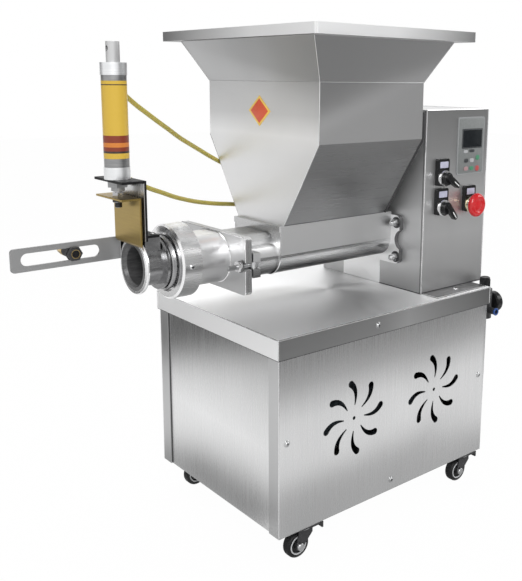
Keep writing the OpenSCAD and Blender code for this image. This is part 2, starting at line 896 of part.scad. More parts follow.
// Half section of a grooved pulley, from its bore outwards
module pulley_section(bore, r) {
    lip = r + pulley_lip;
    floor_r = r - slide_gap;
    low = pulley_half - belt_w / 2 - slide_gap;
    high = pulley_half + belt_w / 2 + slide_gap;
    polygon([
        [bore, 0], [lip, 0], [lip, low], [floor_r, low],
        [floor_r, high], [lip, high], [lip, 2 * pulley_half], [bore, 2 * pulley_half]
    ]);
}

module driven_pulley() color("gray")
    along_x(belt_x - pulley_half, drive_y, axis_z)
        rotate_extrude() pulley_section(shaft_r + run_gap, pulley_r);

module motor_pulley() color("gray") {
    along_x(belt_x - pulley_half, drive_y, motor_z)
        rotate_extrude() pulley_section(motor_shaft_r - 1, motor_pulley_r);
    along_x(gearbox_x1 - motor_shaft_in + slide_gap, drive_y, motor_z)
        cylinder(r = motor_shaft_r, h = belt_x + pulley_half - gearbox_x1 + motor_shaft_in);
}

function involute(a) = tan(a) * 180 / PI - a;
function tooth_half(r) =
    let (base = gear_pitch_r * cos(20))
    gear_flank * 360 / gear_teeth + involute(20) - involute(acos(min(1, base / r)));

module gear_outline() {
    radii = [
        gear_root_r, (gear_root_r + gear_pitch_r) / 2, gear_pitch_r,
        (gear_pitch_r + gear_tip_r) / 2, gear_tip_r
    ];
    last = len(radii) - 1;
    polygon([
        for (i = [0 : gear_teeth - 1], s = [-1, 1], k = [0 : last])
            let (r = radii[s < 0 ? k : last - k])
            let (a = i * 360 / gear_teeth + s * tooth_half(r))
            [r * cos(a), r * sin(a)]
    ]);
}

module drive_shaft() color("gray") {
    along_x(screw_x1, drive_y, axis_z) cylinder(r = shaft_r, h = shaft_end - screw_x1);
    along_x(gear_x0, drive_y, axis_z) linear_extrude(gear_w) gear_outline();
}

module idler_shaft() color("gray") {
    along_x(screw_x1, screw_c, axis_z) cylinder(r = shaft_r, h = case_x1 + 2 - screw_x1);
    along_x(gear_x0, screw_c, axis_z)
        linear_extrude(gear_w) rotate(180 / gear_teeth) gear_outline();
}

// Section of a screw: its root with one flight
module screw_section() {
    half = flight_t / screw_lead * 180;
    root_steps = 14;
    tip_steps = 5;
    polygon(concat(
        [for (i = [0 : tip_steps]) let (a = half * (2 * i / tip_steps - 1)) screw_r * [cos(a), sin(a)]],
        [for (i = [0 : root_steps])
            let (a = half + (360 - 2 * half) * i / root_steps) screw_root * [cos(a), sin(a)]]
    ));
}

module feed_screw() {
    l = screw_x1 - screw_x0;
    turns = l / screw_lead;
    linear_extrude(l, twist = 360 * turns, slices = ceil(12 * turns), segments = 20) screw_section();
}

module drive_screw() color("silver") along_x(screw_x0, drive_y, axis_z) feed_screw();

module idler_screw() color("silver")
    along_x(screw_x0, screw_c, axis_z) rotate(180) mirror([1, 0, 0]) feed_screw();

module gear_case() color("slategray") difference() {
    box(
        [wall_x, -case_half_y - case_wall, axis_z - case_half_z - case_wall],
        [case_x1, case_half_y + case_wall, axis_z + case_half_z + case_wall]
    );
    box(
        [wall_x + case_plate, -case_half_y, axis_z - case_half_z],
        [case_rear_x, case_half_y, axis_z + case_half_z + case_wall + eps]
    );
    for (s = [-1, 1]) along_x(wall_x - eps, s * screw_c, axis_z)
        cylinder(r = bearing_r, h = case_x1 - wall_x + 2 * eps);
}

module shaft_bearings() color("silver")
    for (s = [-1, 1], x = [wall_x, case_rear_x])
        along_x(x, s * screw_c, axis_z) difference() {
            cylinder(r = bearing_r - run_gap, h = case_plate);
            translate([0, 0, -eps]) cylinder(r = shaft_r + run_gap, h = case_plate + 2 * eps);
        }

// Control tower
module at_studs() {
    mid_z = axis_z - flange_drop;
    for (sy = [-1, 1], sz = [-1, 1]) translate([0, sy * stud_y, mid_z + sz * stud_z]) children();
}

module at_switches() {
    for (p = [[selector_x, selector_z[0]], [selector_x, selector_z[1]], [stop_x, stop_z]])
        along_front(p[0], -tower_y, p[1]) children();
}

module control_tower() color("lightgray") difference() {
    box([tower_x0, -tower_y, deck_z], [tower_x1, tower_y - tower_t, tower_z1]);
    box(
        [tower_x0 + tower_t, tower_t - tower_y, deck_z + tower_t],
        [tower_x1 - tower_t, tower_y, tower_z1 - tower_t]
    );
    box(
        [tower_x0 + floor_rim, floor_rim - tower_y, deck_z - eps],
        [deck_half_l - floor_rim, tower_y - floor_rim, deck_z + tower_t + eps]
    );
    for (s = [-1, 1]) along_x(tower_x0 - eps, s * screw_c, axis_z)
        cylinder(r = wall_hole_r, h = tower_t + 2 * eps);
    at_studs() along_x(tower_x0 - eps) cylinder(r = stud_r + hole_gap, h = tower_t + 2 * eps);
    at_switches() translate([0, -switch_drop, -tower_t - eps])
        cylinder(r = switch_stem_r + hole_gap, h = tower_t + 2 * eps);
    along_front(display_x, -tower_y + tower_t + eps, display_z)
        linear_extrude(tower_t + 2 * eps)
            square([display_w - 2 * display_in + 1, display_h - 2 * display_in + 1], center = true);
}

module tower_rear_cover() color("lightgray")
    box([tower_x0, tower_y - tower_t, deck_z], [tower_x1, tower_y, tower_z1]);

module inverter() color("darkslategray")
    translate([tower_x1 - tower_t - inverter_size[0], inverter_y, inverter_z]) cube(inverter_size);

module display_module() color("silver") {
    along_front(display_x, -tower_y, display_z)
        linear_extrude(display_t) round_rect(display_w / 2, display_h / 2, 4);
    along_front(display_x, -tower_y + display_d, display_z)
        linear_extrude(display_d)
            square([display_w - 2 * display_in, display_h - 2 * display_in], center = true);
}

module legend_plates() color("black")
    at_switches() difference() {
        linear_extrude(legend_t) round_rect(legend_w / 2, legend_h / 2, 4);
        translate([0, -switch_drop, -eps]) cylinder(r = switch_stem_r + hole_gap, h = legend_t + 2 * eps);
    }

module switch_base(spindle, depth) {
    inside = tower_t + switch_stem_in;
    difference() {
        union() {
            translate([0, 0, legend_t]) cylinder(r = bezel_r, h = switch_bezel_h);
            translate([0, 0, -inside]) cylinder(r = switch_stem_r, h = inside + legend_t);
            translate([-switch_block[0] / 2, -switch_block[1] / 2, -inside - switch_block[2]])
                cube(switch_block);
        }
        translate([0, 0, legend_t + switch_bezel_h - depth]) cylinder(r = spindle + run_gap, h = depth + eps);
    }
}

module switch_bases() color("silver") {
    for (z = selector_z)
        along_front(selector_x, -tower_y, z - switch_drop) switch_base(spindle_r, spindle_l + 1);
    along_front(stop_x, -tower_y, stop_z - switch_drop)
        switch_base(stop_stem_r, stop_stem_l + stop_travel + 1);
}

module selector(i) color("black")
    along_front(selector_x, -tower_y - legend_t - switch_bezel_h, selector_z[i] - switch_drop)
        rotate(selector_turn[i]) {
            translate([0, 0, -spindle_l]) cylinder(r = spindle_r, h = spindle_l + 1);
            translate([0, 0, slide_gap]) cylinder(r = selector_cap_r, h = selector_cap_h);
            translate([0, 0, selector_cap_h - 2])
                linear_extrude(lever_h) {
                    translate([-lever_back, -lever_w / 2]) square([lever_back + lever_l - lever_w / 2, lever_w]);
                    translate([lever_l - lever_w / 2, 0]) circle(lever_w / 2);
                }
        }

module selector_upper() { selector(0); }
module selector_lower() { selector(1); }

module stop_button() color("red")
    along_front(stop_x, -tower_y - legend_t - switch_bezel_h, stop_z - switch_drop)
        rotate_extrude()
            polygon([
                [0, -stop_stem_l], [stop_stem_r, -stop_stem_l], [stop_stem_r, stop_neck],
                [stop_r - 3, stop_neck], [stop_r - 0.8, stop_neck + 2], [stop_r, stop_neck + 5],
                [stop_r - 0.8, stop_neck + 9], [stop_r - 4, stop_neck + 12.5],
                [stop_r - 8, stop_neck + stop_head_h - 1], [stop_r * 0.3, stop_neck + stop_head_h],
                [0, stop_neck + stop_head_h]
            ]);

// Hopper
module hopper_form(t) {
    a = hopper_half - t;
    b = hopper_half_y - t;
    translate([0, 0, trough_top]) funnel(a, trough_half - t, a, b, taper_h);
    box([-a, -b, taper_z], [a, b, body_z]);
    translate([0, 0, body_z]) funnel(a, b, flare_half_x - t, flare_half_y - t, flare_h);
}

module hopper() color("gainsboro") translate([hopper_x, 0, 0]) difference() {
    union() {
        hopper_form(0);
        box([-flare_half_x, -flare_half_y, flare_z], [flare_half_x, flare_half_y, rim_z]);
        translate([0, 0, flare_z]) linear_extrude(rim_h) difference() {
            round_rect(rim_half_x, rim_half_y, 5);
            round_rect(rim_half_x - hopper_t, rim_half_y - hopper_t, 3);
        }
        translate([0, 0, rim_z - hopper_t]) linear_extrude(hopper_t) round_rect(rim_half_x, rim_half_y, 5);
        translate([0, 0, flare_z]) linear_extrude(hopper_t) difference() {
            round_rect(rim_half_x - 1, rim_half_y - 1, 4);
            square([2 * (flare_half_x + rim_slit), 2 * (flare_half_y + rim_slit)], center = true);
        }
    }
    hopper_form(hopper_t);
    box(
        [hopper_t - hopper_half, hopper_t - trough_half, trough_top - eps],
        [hopper_half - hopper_t, trough_half - hopper_t, trough_top]
    );
    box(
        [hopper_t - flare_half_x, hopper_t - flare_half_y, flare_z],
        [flare_half_x - hopper_t, flare_half_y - hopper_t, rim_z + eps]
    );
}

// Feed barrel: trough, neck, rear flange and the lugs of the swing bolts
module trough_outline() {
    for (s = [-1, 1]) translate([s * trough_c, 0]) circle(neck_r);
    translate([-trough_c, -neck_r]) square([2 * trough_c, neck_r]);
    translate([-trough_half, 0]) square([2 * trough_half, trough_rise]);
}

module rear_flange_outline() {
    waist_r = 20;
    difference() {
        translate([0, -flange_drop]) round_rect(flange_half_y, flange_half_z, 10);
        for (s = [-1, 1]) translate([s * (flange_half_y + 8), -flange_drop]) circle(waist_r);
    }
}

module lug(sy) {
    y0 = screw_c + neck_r * 0.6;
    eye_y = swing_y - swing_eye_r - eps;
    x0 = neck_x0 + lug_gap;
    half = swing_eye_h / 2 + slide_gap;
    difference() {
        box([x0, min(sy * y0, sy * head_half_y), axis_z - lug_half_z],
            [x0 + lug_l, max(sy * y0, sy * head_half_y), axis_z + lug_half_z]);
        box([x0 - eps, min(sy * eye_y, sy * (head_half_y + eps)), axis_z - half],
            [x0 + lug_l + eps, max(sy * eye_y, sy * (head_half_y + eps)), axis_z + half]);
    }
    translate([swing_x, sy * swing_y, axis_z - lug_half_z]) cylinder(r = swing_pin_r, h = 2 * lug_half_z);
}

module feed_barrel() color("gainsboro") difference() {
    union() {
        along_x(trough_x0, 0, axis_z) linear_extrude(trough_l - flange_t) trough_outline();
        along_x(neck_x0, 0, axis_z) linear_extrude(neck_l) obround(screw_c, neck_r);
        along_x(tower_x0 - flange_t, 0, axis_z) linear_extrude(flange_t) rear_flange_outline();
        box([trough_x0 - collar_t, -trough_half, trough_top - collar_h], [trough_x0, trough_half, trough_top]);
        for (sy = [-1, 1]) lug(sy);
    }
    along_x(neck_x0 - eps, 0, axis_z)
        linear_extrude(neck_l + trough_l - end_wall + eps) obround(screw_c, bore_r);
    box(
        [hopper_x - hopper_half + hopper_t, -screw_c - bore_r, axis_z],
        [hopper_x + hopper_half - hopper_t, screw_c + bore_r, trough_top + eps]
    );
    for (s = [-1, 1]) along_x(tower_x0 - end_wall - eps, s * screw_c, axis_z)
        cylinder(r = shaft_r + slide_gap, h = end_wall + 2 * eps);
    at_studs() along_x(tower_x0 - flange_t - eps) cylinder(r = stud_r + hole_gap, h = flange_t + 2 * eps);
}

module barrel_studs() color("whitesmoke") {
    out_x = tower_x0 - flange_t;
    at_studs() {
        along_x(out_x - stud_out) cylinder(r = stud_r, h = stud_out + flange_t + tower_t + stud_nut_h + 2);
        along_x(out_x - stud_nut_h) hex(stud_nut_r, stud_nut_h);
        along_x(wall_x) hex(stud_nut_r, stud_nut_h);
    }
}

// Outlet
module outlet_head() color("gainsboro") difference() {
    union() {
        along_x(head_x0, 0, axis_z) linear_extrude(head_flange_t) round_rect(head_half_y, head_half_z, 5);
        along_x(body_x0, 0, axis_z + head_lift) linear_extrude(head_l) obround(head_c, head_r);
        along_x(body_x0, 0, nozzle_z) cylinder(r = spigot_r, h = seat_t);
        along_x(body_x0 - spigot_l, 0, nozzle_z) difference() {
            cylinder(r = spigot_r, h = spigot_l + eps);
            translate([0, 0, -eps]) cylinder(r = nozzle_flange_r + slide_gap, h = spigot_l + eps);
        }
    }
    along_x(head_x0 + 4, 0, axis_z) linear_extrude(head_flange_t) obround(screw_c, bore_r);
    along_x(body_x0 - eps, 0, axis_z) linear_extrude(head_l + head_flange_t) obround(head_c - 2, bore_r - 2);
    for (sy = [-1, 1]) {
        inner = swing_y - swing_bolt_r - 1.5;
        half = swing_bolt_r + 1.5;
        box([head_x0 - eps, min(sy * inner, sy * (head_half_y + eps)), axis_z - half],
            [neck_x0 + eps, max(sy * inner, sy * (head_half_y + eps)), axis_z + half]);
    }
}

module locking_ring() color("gainsboro") difference() {
    along_x(ring_x0, 0, nozzle_z)
        rotate_extrude()
            polygon([
                [neck_tube_r + slide_gap, recess_d], [collar_r + 4, recess_d], [collar_r + 4, 0],
                [ring_r - ring_edge, 0], [ring_r, ring_edge], [ring_r, ring_l], [spigot_r + slide_gap, ring_l],
                [spigot_r + slide_gap, ring_l - spigot_l - slide_gap],
                [neck_tube_r + slide_gap, ring_l - spigot_l - slide_gap]
            ]);
    along_front((ring_x0 + body_x0) / 2 - 2, -ring_r + ring_edge + 3, nozzle_z)
        cylinder(r = screw_hole_r, h = 2 * ring_edge);
}

module nozzle() color("gainsboro") difference() {
    union() {
        front = ring_x0 - nozzle_x0;
        seat = nozzle_l - nozzle_flange_t;
        along_x(nozzle_x0, 0, nozzle_z)
            rotate_extrude()
                polygon([
                    [nozzle_bore + 3, 0], [lip_r - 3, 0], [lip_r - 0.8, 1], [lip_r, 3], [lip_r - 0.8, lip_t - 1.5],
                    [lip_r - 3, lip_t], [tube_r + 2, lip_t], [tube_r, lip_t + 2], [tube_r, front - 16],
                    [collar_r - 2.5, front - 16], [collar_r - 2.5, front - 12], [neck_tube_r, front - 12],
                    [neck_tube_r, front - 9], [collar_r - 1.5, front - 9], [collar_r, front - 7],
                    [collar_r, front], [neck_tube_r, front], [neck_tube_r, seat], [nozzle_flange_r, seat],
                    [nozzle_flange_r, nozzle_l], [nozzle_bore, nozzle_l], [nozzle_bore, 5]
                ]);
        difference() {
            box([pad_x0, -pad_half, nozzle_z + tube_r * 0.6], [pad_x1, pad_half, bracket_z]);
            along_x(pad_x0 - eps, 0, nozzle_z) cylinder(r = tube_r - 1, h = pad_x1 - pad_x0 + 2 * eps);
        }
    }
    for (x = [pad_x0 + pad_screw_in, pad_x1 - pad_screw_in])
        translate([x, pad_screw_y, bracket_z - 9]) cylinder(r = screw_hole_r, h = 9 + eps);
}

// Swing bolt drawn along -X from its pin at the origin
module swing_bolt() color("whitesmoke") {
    nut_x = swing_x - head_x0 + swing_nut_gap;
    difference() {
        union() {
            translate([0, 0, -swing_eye_h / 2]) cylinder(r = swing_eye_r, h = swing_eye_h);
            along_x(-nut_x - swing_end) cylinder(r = swing_bolt_r, h = nut_x + swing_end - swing_pin_r - 2);
        }
        translate([0, 0, -swing_eye_h]) cylinder(r = swing_pin_r + run_gap, h = 2 * swing_eye_h);
    }
    along_x(-nut_x - swing_nut_h) hex(swing_nut_r, swing_nut_h);
    along_x(-nut_x - 2) cylinder(r = swing_nut_r + 1, h = 2);
}

module swing_bolt_near() { translate([swing_x, -swing_y, axis_z]) swing_bolt(); }
module swing_bolt_far() { translate([swing_x, swing_y, axis_z]) swing_bolt(); }

// Cutter
module cutter_bracket() color("dimgray") difference() {
    x1 = bracket_x0 + bracket_t;
    union() {
        box([bracket_x0, -pad_half, bracket_z], [pad_x1, arm_y, bracket_z + bracket_t]);
        box([bracket_x0, -bracket_half, bracket_z], [x1, bracket_half, bracket_top]);
        box([knife_x1 - reach, -bracket_half, bracket_top - bracket_t], [x1, bracket_half, bracket_top]);
        box([x1, bracket_half, arm_z - arm_h / 2], [pad_x1, arm_y, bracket_z + bracket_t]);
    }
    translate([rod_x, 0, bracket_top - bracket_t - eps])
        cylinder(r = nose_r + hole_gap, h = bracket_t + 2 * eps);
    for (x = [pad_x0 + pad_screw_in, pad_x1 - pad_screw_in])
        translate([x, pad_screw_y, bracket_z - eps]) cylinder(r = screw_hole_r, h = bracket_t + 2 * eps);
    for (x = [x1 + arm_screw_in, arm_x1 - arm_screw_in])
        along_back(x, bracket_half - eps, arm_z) cylinder(r = screw_hole_r, h = bracket_t + 2 * eps);
}

module cylinder_tube() color("silver")
    translate([rod_x, 0, tube_z]) difference() {
        cylinder(r = cyl_r, h = cyl_l);
        translate([0, 0, -eps]) cylinder(r = cyl_r - cyl_wall, h = cyl_l + 2 * eps);
    }

// Threaded hole for a push-in fitting in the side of a cap
module cap_port_hole(z) {
    translate([rod_x, 0, z]) rotate([0, 90, port_angle]) translate([0, 0, cap_r - thread_l])
        cylinder(r = thread_r + hole_gap, h = thread_l + eps);
}

module cylinder_caps() color("silver") {
    nose_z = cap_z - bracket_t - nose_h;
    difference() {
        union() {
            translate([rod_x, 0, cap_z]) cylinder(r = cap_r, h = cap_h);
            translate([rod_x, 0, nose_z]) cylinder(r = nose_r, h = nose_h + bracket_t);
        }
        translate([rod_x, 0, nose_z - eps]) cylinder(r = rod_r + run_gap, h = nose_h + bracket_t + cap_h + 2 * eps);
        cap_port_hole(cap_z + cap_h / 2);
    }
    translate([rod_x, 0, cap_z - bracket_t - nose_nut_h]) difference() {
        hex(nose_nut_r, nose_nut_h);
        translate([0, 0, -eps]) cylinder(r = nose_r + run_gap, h = nose_nut_h + 2 * eps);
    }
    difference() {
        union() {
            translate([rod_x, 0, head_cap_z]) cylinder(r = cap_r, h = cap_h);
            translate([rod_x, 0, boss_z]) cylinder(r = boss_r, h = boss_h);
        }
        along_x(rod_x - boss_r - eps, 0, boss_z + boss_h - boss_r)
            cylinder(r = boss_hole_r, h = 2 * boss_r + 2 * eps);
        cap_port_hole(head_cap_z + cap_h / 2);
    }
}

// A push-in fitting: thread below z = 0, hexagon and sleeve above
module fitting() {
    translate([0, 0, -thread_l + eps]) cylinder(r = thread_r, h = thread_l);
    hex(fitting_hex_r, fitting_hex_l);
    cylinder(r = fitting_sleeve_r, h = fitting_l());
}

module air_fittings() color("royalblue") {
    for (z = [cap_z + cap_h / 2, head_cap_z + cap_h / 2])
        translate([rod_x, 0, z]) rotate([0, 90, port_angle]) translate([0, 0, cap_r + 0.7]) fitting();
    for (s = [-1, 1])
        translate([tower_x0 - valve_l, valve_y0 + valve_w / 2, valve_port_z(s)]) rotate([0, -90, 0]) fitting();
}

module solenoid_valve() color("darkgray") difference() {
    union() {
        box([tower_x0 - valve_l, valve_y0, valve_z0],
            [tower_x0, valve_y0 + valve_w, valve_z0 + valve_h]);
        box([tower_x0 - valve_l + 12, valve_y0 + 4, valve_z0 + valve_h],
            [tower_x0 - 4, valve_y0 + valve_w - 4, valve_z0 + valve_h + 26]);
    }
    for (s = [-1, 1])
        translate([tower_x0 - valve_l - eps, valve_y0 + valve_w / 2, valve_port_z(s)]) rotate([0, 90, 0])
            cylinder(r = thread_r + hole_gap, h = thread_l + eps);
}

// Ring of a hose at point i of its route, square to the bisecting direction
function unit(v) = v / norm(v);
function hose_dir(p, i) = unit(p[min(i + 1, len(p) - 1)] - p[max(i - 1, 0)]);
function hose_ring(p, i) =
    let (d = hose_dir(p, i))
    let (u = unit(cross(d, [0, 0, 1])))
    let (w = cross(u, d))
    [for (k = [0 : hose_sides - 1])
        p[i] + hose_d / 2 * (u * cos(360 * k / hose_sides) + w * sin(360 * k / hose_sides))];

module hose(p) {
    n = len(p);
    m = hose_sides;
    polyhedron(
        points = [for (i = [0 : n - 1]) each hose_ring(p, i)],
        faces = concat(
            [[for (k = [0 : m - 1]) k]],
            [[for (k = [m - 1 : -1 : 0]) (n - 1) * m + k]],
            [for (i = [0 : n - 2], k = [0 : m - 1])
                [i * m + k, (i + 1) * m + k, (i + 1) * m + (k + 1) % m, i * m + (k + 1) % m]]
        )
    );
}

// A hose leaves each fitting square to it, over a short straight length
module air_hose(z, route, side) {
    hose(concat(
        [cap_port(z, hose_clear), cap_port(z, hose_stub)],
        route,
        [valve_port(side, hose_stub), valve_port(side, hose_clear)]
    ));
}

module upper_air_hose() color("goldenrod") air_hose(head_cap_z + cap_h / 2, upper_route, 1);

module lower_air_hose() color("goldenrod") air_hose(cap_z + cap_h / 2, lower_route, -1);

module piston_rod() color("silver") translate([rod_x, 0, 0]) {
    low = knife_z1 - knife_t - rod_nut_h - rod_tail;
    top = head_cap_z - piston_top_gap;
    translate([0, 0, low]) cylinder(r = rod_r, h = top - piston_h - low + 1);
    translate([0, 0, top - piston_h]) cylinder(r = cyl_r - cyl_wall - run_gap, h = piston_h);
    translate([0, 0, knife_z1]) hex(rod_nut_r, rod_nut_h);
    translate([0, 0, knife_z1 - knife_t - rod_nut_h]) hex(rod_nut_r, rod_nut_h);
}

module knife() color("darkgoldenrod") difference() {
    along_back(0, -knife_w / 2, 0) linear_extrude(knife_w)
        polygon([
            [knife_x1, -knife_z0], [knife_x0, -knife_z0 - 4], [knife_x0, knife_t - knife_z1],
            [knife_x1 - reach, knife_t - knife_z1], [knife_x1 - reach, -knife_z1], [knife_x1, -knife_z1]
        ]);
    translate([rod_x, 0, knife_z1 - knife_t - eps]) cylinder(r = rod_r + hole_gap, h = knife_t + 2 * eps);
}

// Sensor
module sensor_arm() color("gray") difference() {
    mid = (arm_x0 + arm_x1) / 2;
    along_front(mid, arm_y + arm_t, arm_z) linear_extrude(arm_t) round_rect(arm_l / 2, arm_h / 2, arm_end_r);
    along_front((slot_x0 + slot_x1) / 2, arm_y + arm_t + eps, arm_z)
        linear_extrude(arm_t + 2 * eps) obround(slot_l / 2 - slot_half, slot_half);
    for (x = [bracket_x0 + bracket_t + arm_screw_in, arm_x1 - arm_screw_in])
        along_back(x, arm_y - eps, arm_z) cylinder(r = screw_hole_r, h = arm_t + 2 * eps);
}

module sensor() color("darkgoldenrod") {
    front = arm_y - slide_gap - sensor_nut_h;
    back = arm_y + arm_t + slide_gap;
    along_back(sensor_x, front - 1, arm_z)
        cylinder(r = sensor_r, h = back + sensor_nut_h - front + sensor_tail * 0.45);
    along_back(sensor_x, back + sensor_nut_h + sensor_tail * 0.45 - 1, arm_z)
        cylinder(r1 = sensor_r, r2 = sensor_r * 0.55, h = sensor_tail * 0.55);
    along_back(sensor_x, front, arm_z) hex(sensor_nut_r, sensor_nut_h);
    along_back(sensor_x, back, arm_z) hex(sensor_nut_r, sensor_nut_h);
}

// Air preparation at the right end
module regulator_body() color("dimgray") difference() {
    union() {
        translate([reg_x, reg_y, reg_z0]) cylinder(r = regulator_r, h = reg_z1 - reg_z0);
        box([half_l, reg_y - plate_half, plate_z0], [half_l + plate_t, reg_y + plate_half, plate_z0 + plate_h]);
        box([half_l + plate_t, reg_y - reg_arm_half, reg_arm_z],
            [reg_x, reg_y + reg_arm_half, reg_arm_z + reg_arm_h]);
        along_front(reg_x, reg_y, inlet_z) cylinder(r = inlet_r, h = regulator_r + inlet_l);
    }
    translate([reg_x, reg_y, reg_z1 - knob_stem_l - 1]) cylinder(r = knob_stem_r + run_gap, h = knob_stem_l + 1 + eps);
    along_x(reg_x + gauge_stem_in, reg_y, gauge_z)
        cylinder(r = gauge_stem_r + hole_gap, h = regulator_r);
    along_front(reg_x, reg_y - regulator_r - inlet_l + inlet_bore_l, inlet_z)
        cylinder(r = inlet_bore_r, h = inlet_bore_l + eps);
}

module pressure_gauge() color("black") {
    along_x(reg_x + gauge_stem_in, reg_y, gauge_z)
        cylinder(r = gauge_stem_r, h = gauge_x0 - reg_x - gauge_stem_in + 1);
    along_x(gauge_x0, reg_y, gauge_z)
        rotate_extrude()
            polygon([
                [0, 0], [gauge_r - 3, 0], [gauge_r - 0.8, 1], [gauge_r, 3], [gauge_r, gauge_d],
                [gauge_r - 2, gauge_d], [gauge_r - 2, gauge_d - 2], [0, gauge_d - 2]
            ]);
}

module regulator_knob() color("black") translate([reg_x, reg_y, reg_z1]) {
    translate([0, 0, -knob_stem_l]) cylinder(r = knob_stem_r, h = knob_stem_l + 1);
    translate([0, 0, slide_gap])
        rotate_extrude()
            polygon([
                [0, 0], [knob_r, 0], [knob_r, knob_h - 2], [knob_r - 2, knob_h], [0, knob_h]
            ]);
}

placed() cabinet_frame();
placed() bottom_tray();
placed() worktop();
placed() front_panel();
placed() rear_panel();
placed() end_panels();
placed() power_gland();
placed() machine_screws();
placed() caster_plates();
placed() gear_motor();
placed() drive_belt();
placed() control_tower();
placed() tower_rear_cover();
placed() gear_case();
placed() shaft_bearings();
placed() inverter();
placed() display_module();
placed() legend_plates();
placed() switch_bases();
placed() hopper();
placed() feed_barrel();
placed() barrel_studs();
placed() outlet_head();
placed() locking_ring();
placed() nozzle();
placed() cutter_bracket();
placed() cylinder_tube();
placed() cylinder_caps();
placed() air_fittings();
placed() upper_air_hose();
placed() lower_air_hose();
placed() solenoid_valve();
placed() sensor_arm();
placed() regulator_body();
placed() pressure_gauge();
placed() drive_screw();
placed() drive_shaft();
placed() driven_pulley();
placed() idler_screw();
placed() idler_shaft();
placed() motor_pulley();
placed() piston_rod();
placed() knife();
placed() sensor();
placed() selector_upper();
placed() selector_lower();
placed() stop_button();
placed() regulator_knob();
placed() swing_bolt_near();
placed() swing_bolt_far();
for (i = [0 : 3]) placed() at_caster(i) caster_fork();
for (i = [0 : 3]) placed() at_caster(i) caster_wheel();
for (i = [0 : 1]) placed() at_caster(i) brake_pedal();
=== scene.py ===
# %% [markdown]
# # A twin-screw dough divider, dressed around its solids
# The machine is already built as exact solids in one frame: +X runs along the feed screws
# from the nozzle to the control tower, -Y is the side with the controls, and the floor is z = 0.
# This lesson loads those solids, gives each one its finish, and adds the fine pieces
# that a maker would fit last: seams, cards, keys, tyres and hoses.

# %% Load the frame
import bpy
import bmesh
import math
from mathutils import Matrix, Vector


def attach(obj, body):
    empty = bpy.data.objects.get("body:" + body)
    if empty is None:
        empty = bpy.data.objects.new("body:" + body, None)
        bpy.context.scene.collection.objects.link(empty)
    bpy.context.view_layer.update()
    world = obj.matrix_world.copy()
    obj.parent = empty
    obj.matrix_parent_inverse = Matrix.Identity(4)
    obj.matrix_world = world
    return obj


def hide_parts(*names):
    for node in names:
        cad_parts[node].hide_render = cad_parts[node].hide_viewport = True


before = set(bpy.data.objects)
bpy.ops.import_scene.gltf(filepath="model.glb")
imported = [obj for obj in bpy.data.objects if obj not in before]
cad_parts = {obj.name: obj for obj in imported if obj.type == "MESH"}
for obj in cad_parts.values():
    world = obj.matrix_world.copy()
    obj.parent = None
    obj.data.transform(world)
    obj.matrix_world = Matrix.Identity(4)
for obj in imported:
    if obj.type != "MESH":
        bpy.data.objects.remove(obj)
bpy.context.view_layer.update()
scene = bpy.context.scene
scene.view_settings.view_transform = "Standard"

# %% [markdown]
# ## Camera
# A photograph can be matched by finding where its camera stood. The edges of the cabinet and the
# hopper gave this place, these axes and this focal length, so the same view comes back here.
# The picture was cropped off-centre, which a small lens shift repeats.

# %% Camera
IMAGE_W, IMAGE_H = 522, 581
FOCAL_PX = 796.1
CENTRE_PX = (326.2, 231.5)
CAMERA_PLACE = (-0.8235, -1.0987, 0.7834)
CAMERA_RIGHT = Vector((0.75766, -0.65256, 0.01093))
CAMERA_AHEAD = Vector((0.64243, 0.74275, -0.18871))

lens = bpy.data.cameras.new("photo_camera")
lens.lens = FOCAL_PX * lens.sensor_width / IMAGE_H
lens.shift_x = (IMAGE_W / 2 - CENTRE_PX[0]) / IMAGE_H
lens.shift_y = (CENTRE_PX[1] - IMAGE_H / 2) / IMAGE_H
lens.clip_start, lens.clip_end = 0.05, 60
camera = bpy.data.objects.new("photo_camera", lens)
scene.collection.objects.link(camera)
back = -CAMERA_AHEAD.normalized()
up = back.cross(CAMERA_RIGHT).normalized()
turn = Matrix((up.cross(back), up, back)).transposed()
camera.matrix_world = Matrix.Translation(CAMERA_PLACE) @ turn.to_4x4()
scene.camera = camera
print(f"lens {lens.lens:.1f} mm, shift {lens.shift_x:.3f} {lens.shift_y:.3f}")

# %% [markdown]
# ## Node helpers for the finishes
# Every finish below is a small node tree. It could also be painted on each piece, but noise in
# nodes needs no unwrapping and stays sharp at any distance. Nearly all machine finishes are noise
# that was stretched by the tool that made them: a belt that brushes a sheet, a lathe that turns a
# ring. These helpers add a node, set its sockets and give such a stretched noise.

# %% Node helpers
NOISE_LOW, NOISE_HIGH = 0.3, 0.7
NOISE_ROUGHNESS = 0.55


def finish_tree(name):
    """A new material with its shader node, ready for more nodes."""
    material = bpy.data.materials.new(name)
    material.use_nodes = True
    return material, material.node_tree, material.node_tree.nodes["Principled BSDF"]


def add_node(tree, kind):
    return tree.nodes.new("ShaderNode" + kind)


def set_sockets(node, **values):
    for key, value in values.items():
        node.inputs[key.replace("_", " ")].default_value = value


def stretched_noise(tree, scale, detail):
    """Noise over the object's own coordinates, with one scale per axis in cycles a metre."""
    place = add_node(tree, "TexCoord")
    stretch = add_node(tree, "Mapping")
    noise = add_node(tree, "TexNoise")
    set_sockets(stretch, Scale=scale)
    set_sockets(noise, Scale=1.0, Detail=detail, Roughness=NOISE_ROUGHNESS)
    tree.links.new(place.outputs["Object"], stretch.inputs["Vector"])
    tree.links.new(stretch.outputs["Vector"], noise.inputs["Vector"])
    return noise.outputs["Fac"]


def spread(tree, value, low, high, from_low=NOISE_LOW, from_high=NOISE_HIGH):
    """Maps a grey value to another range."""
    ranged = add_node(tree, "MapRange")
    set_sockets(ranged, From_Min=from_low, From_Max=from_high, To_Min=low, To_Max=high)
    tree.links.new(value, ranged.inputs["Value"])
    return ranged.outputs["Result"]


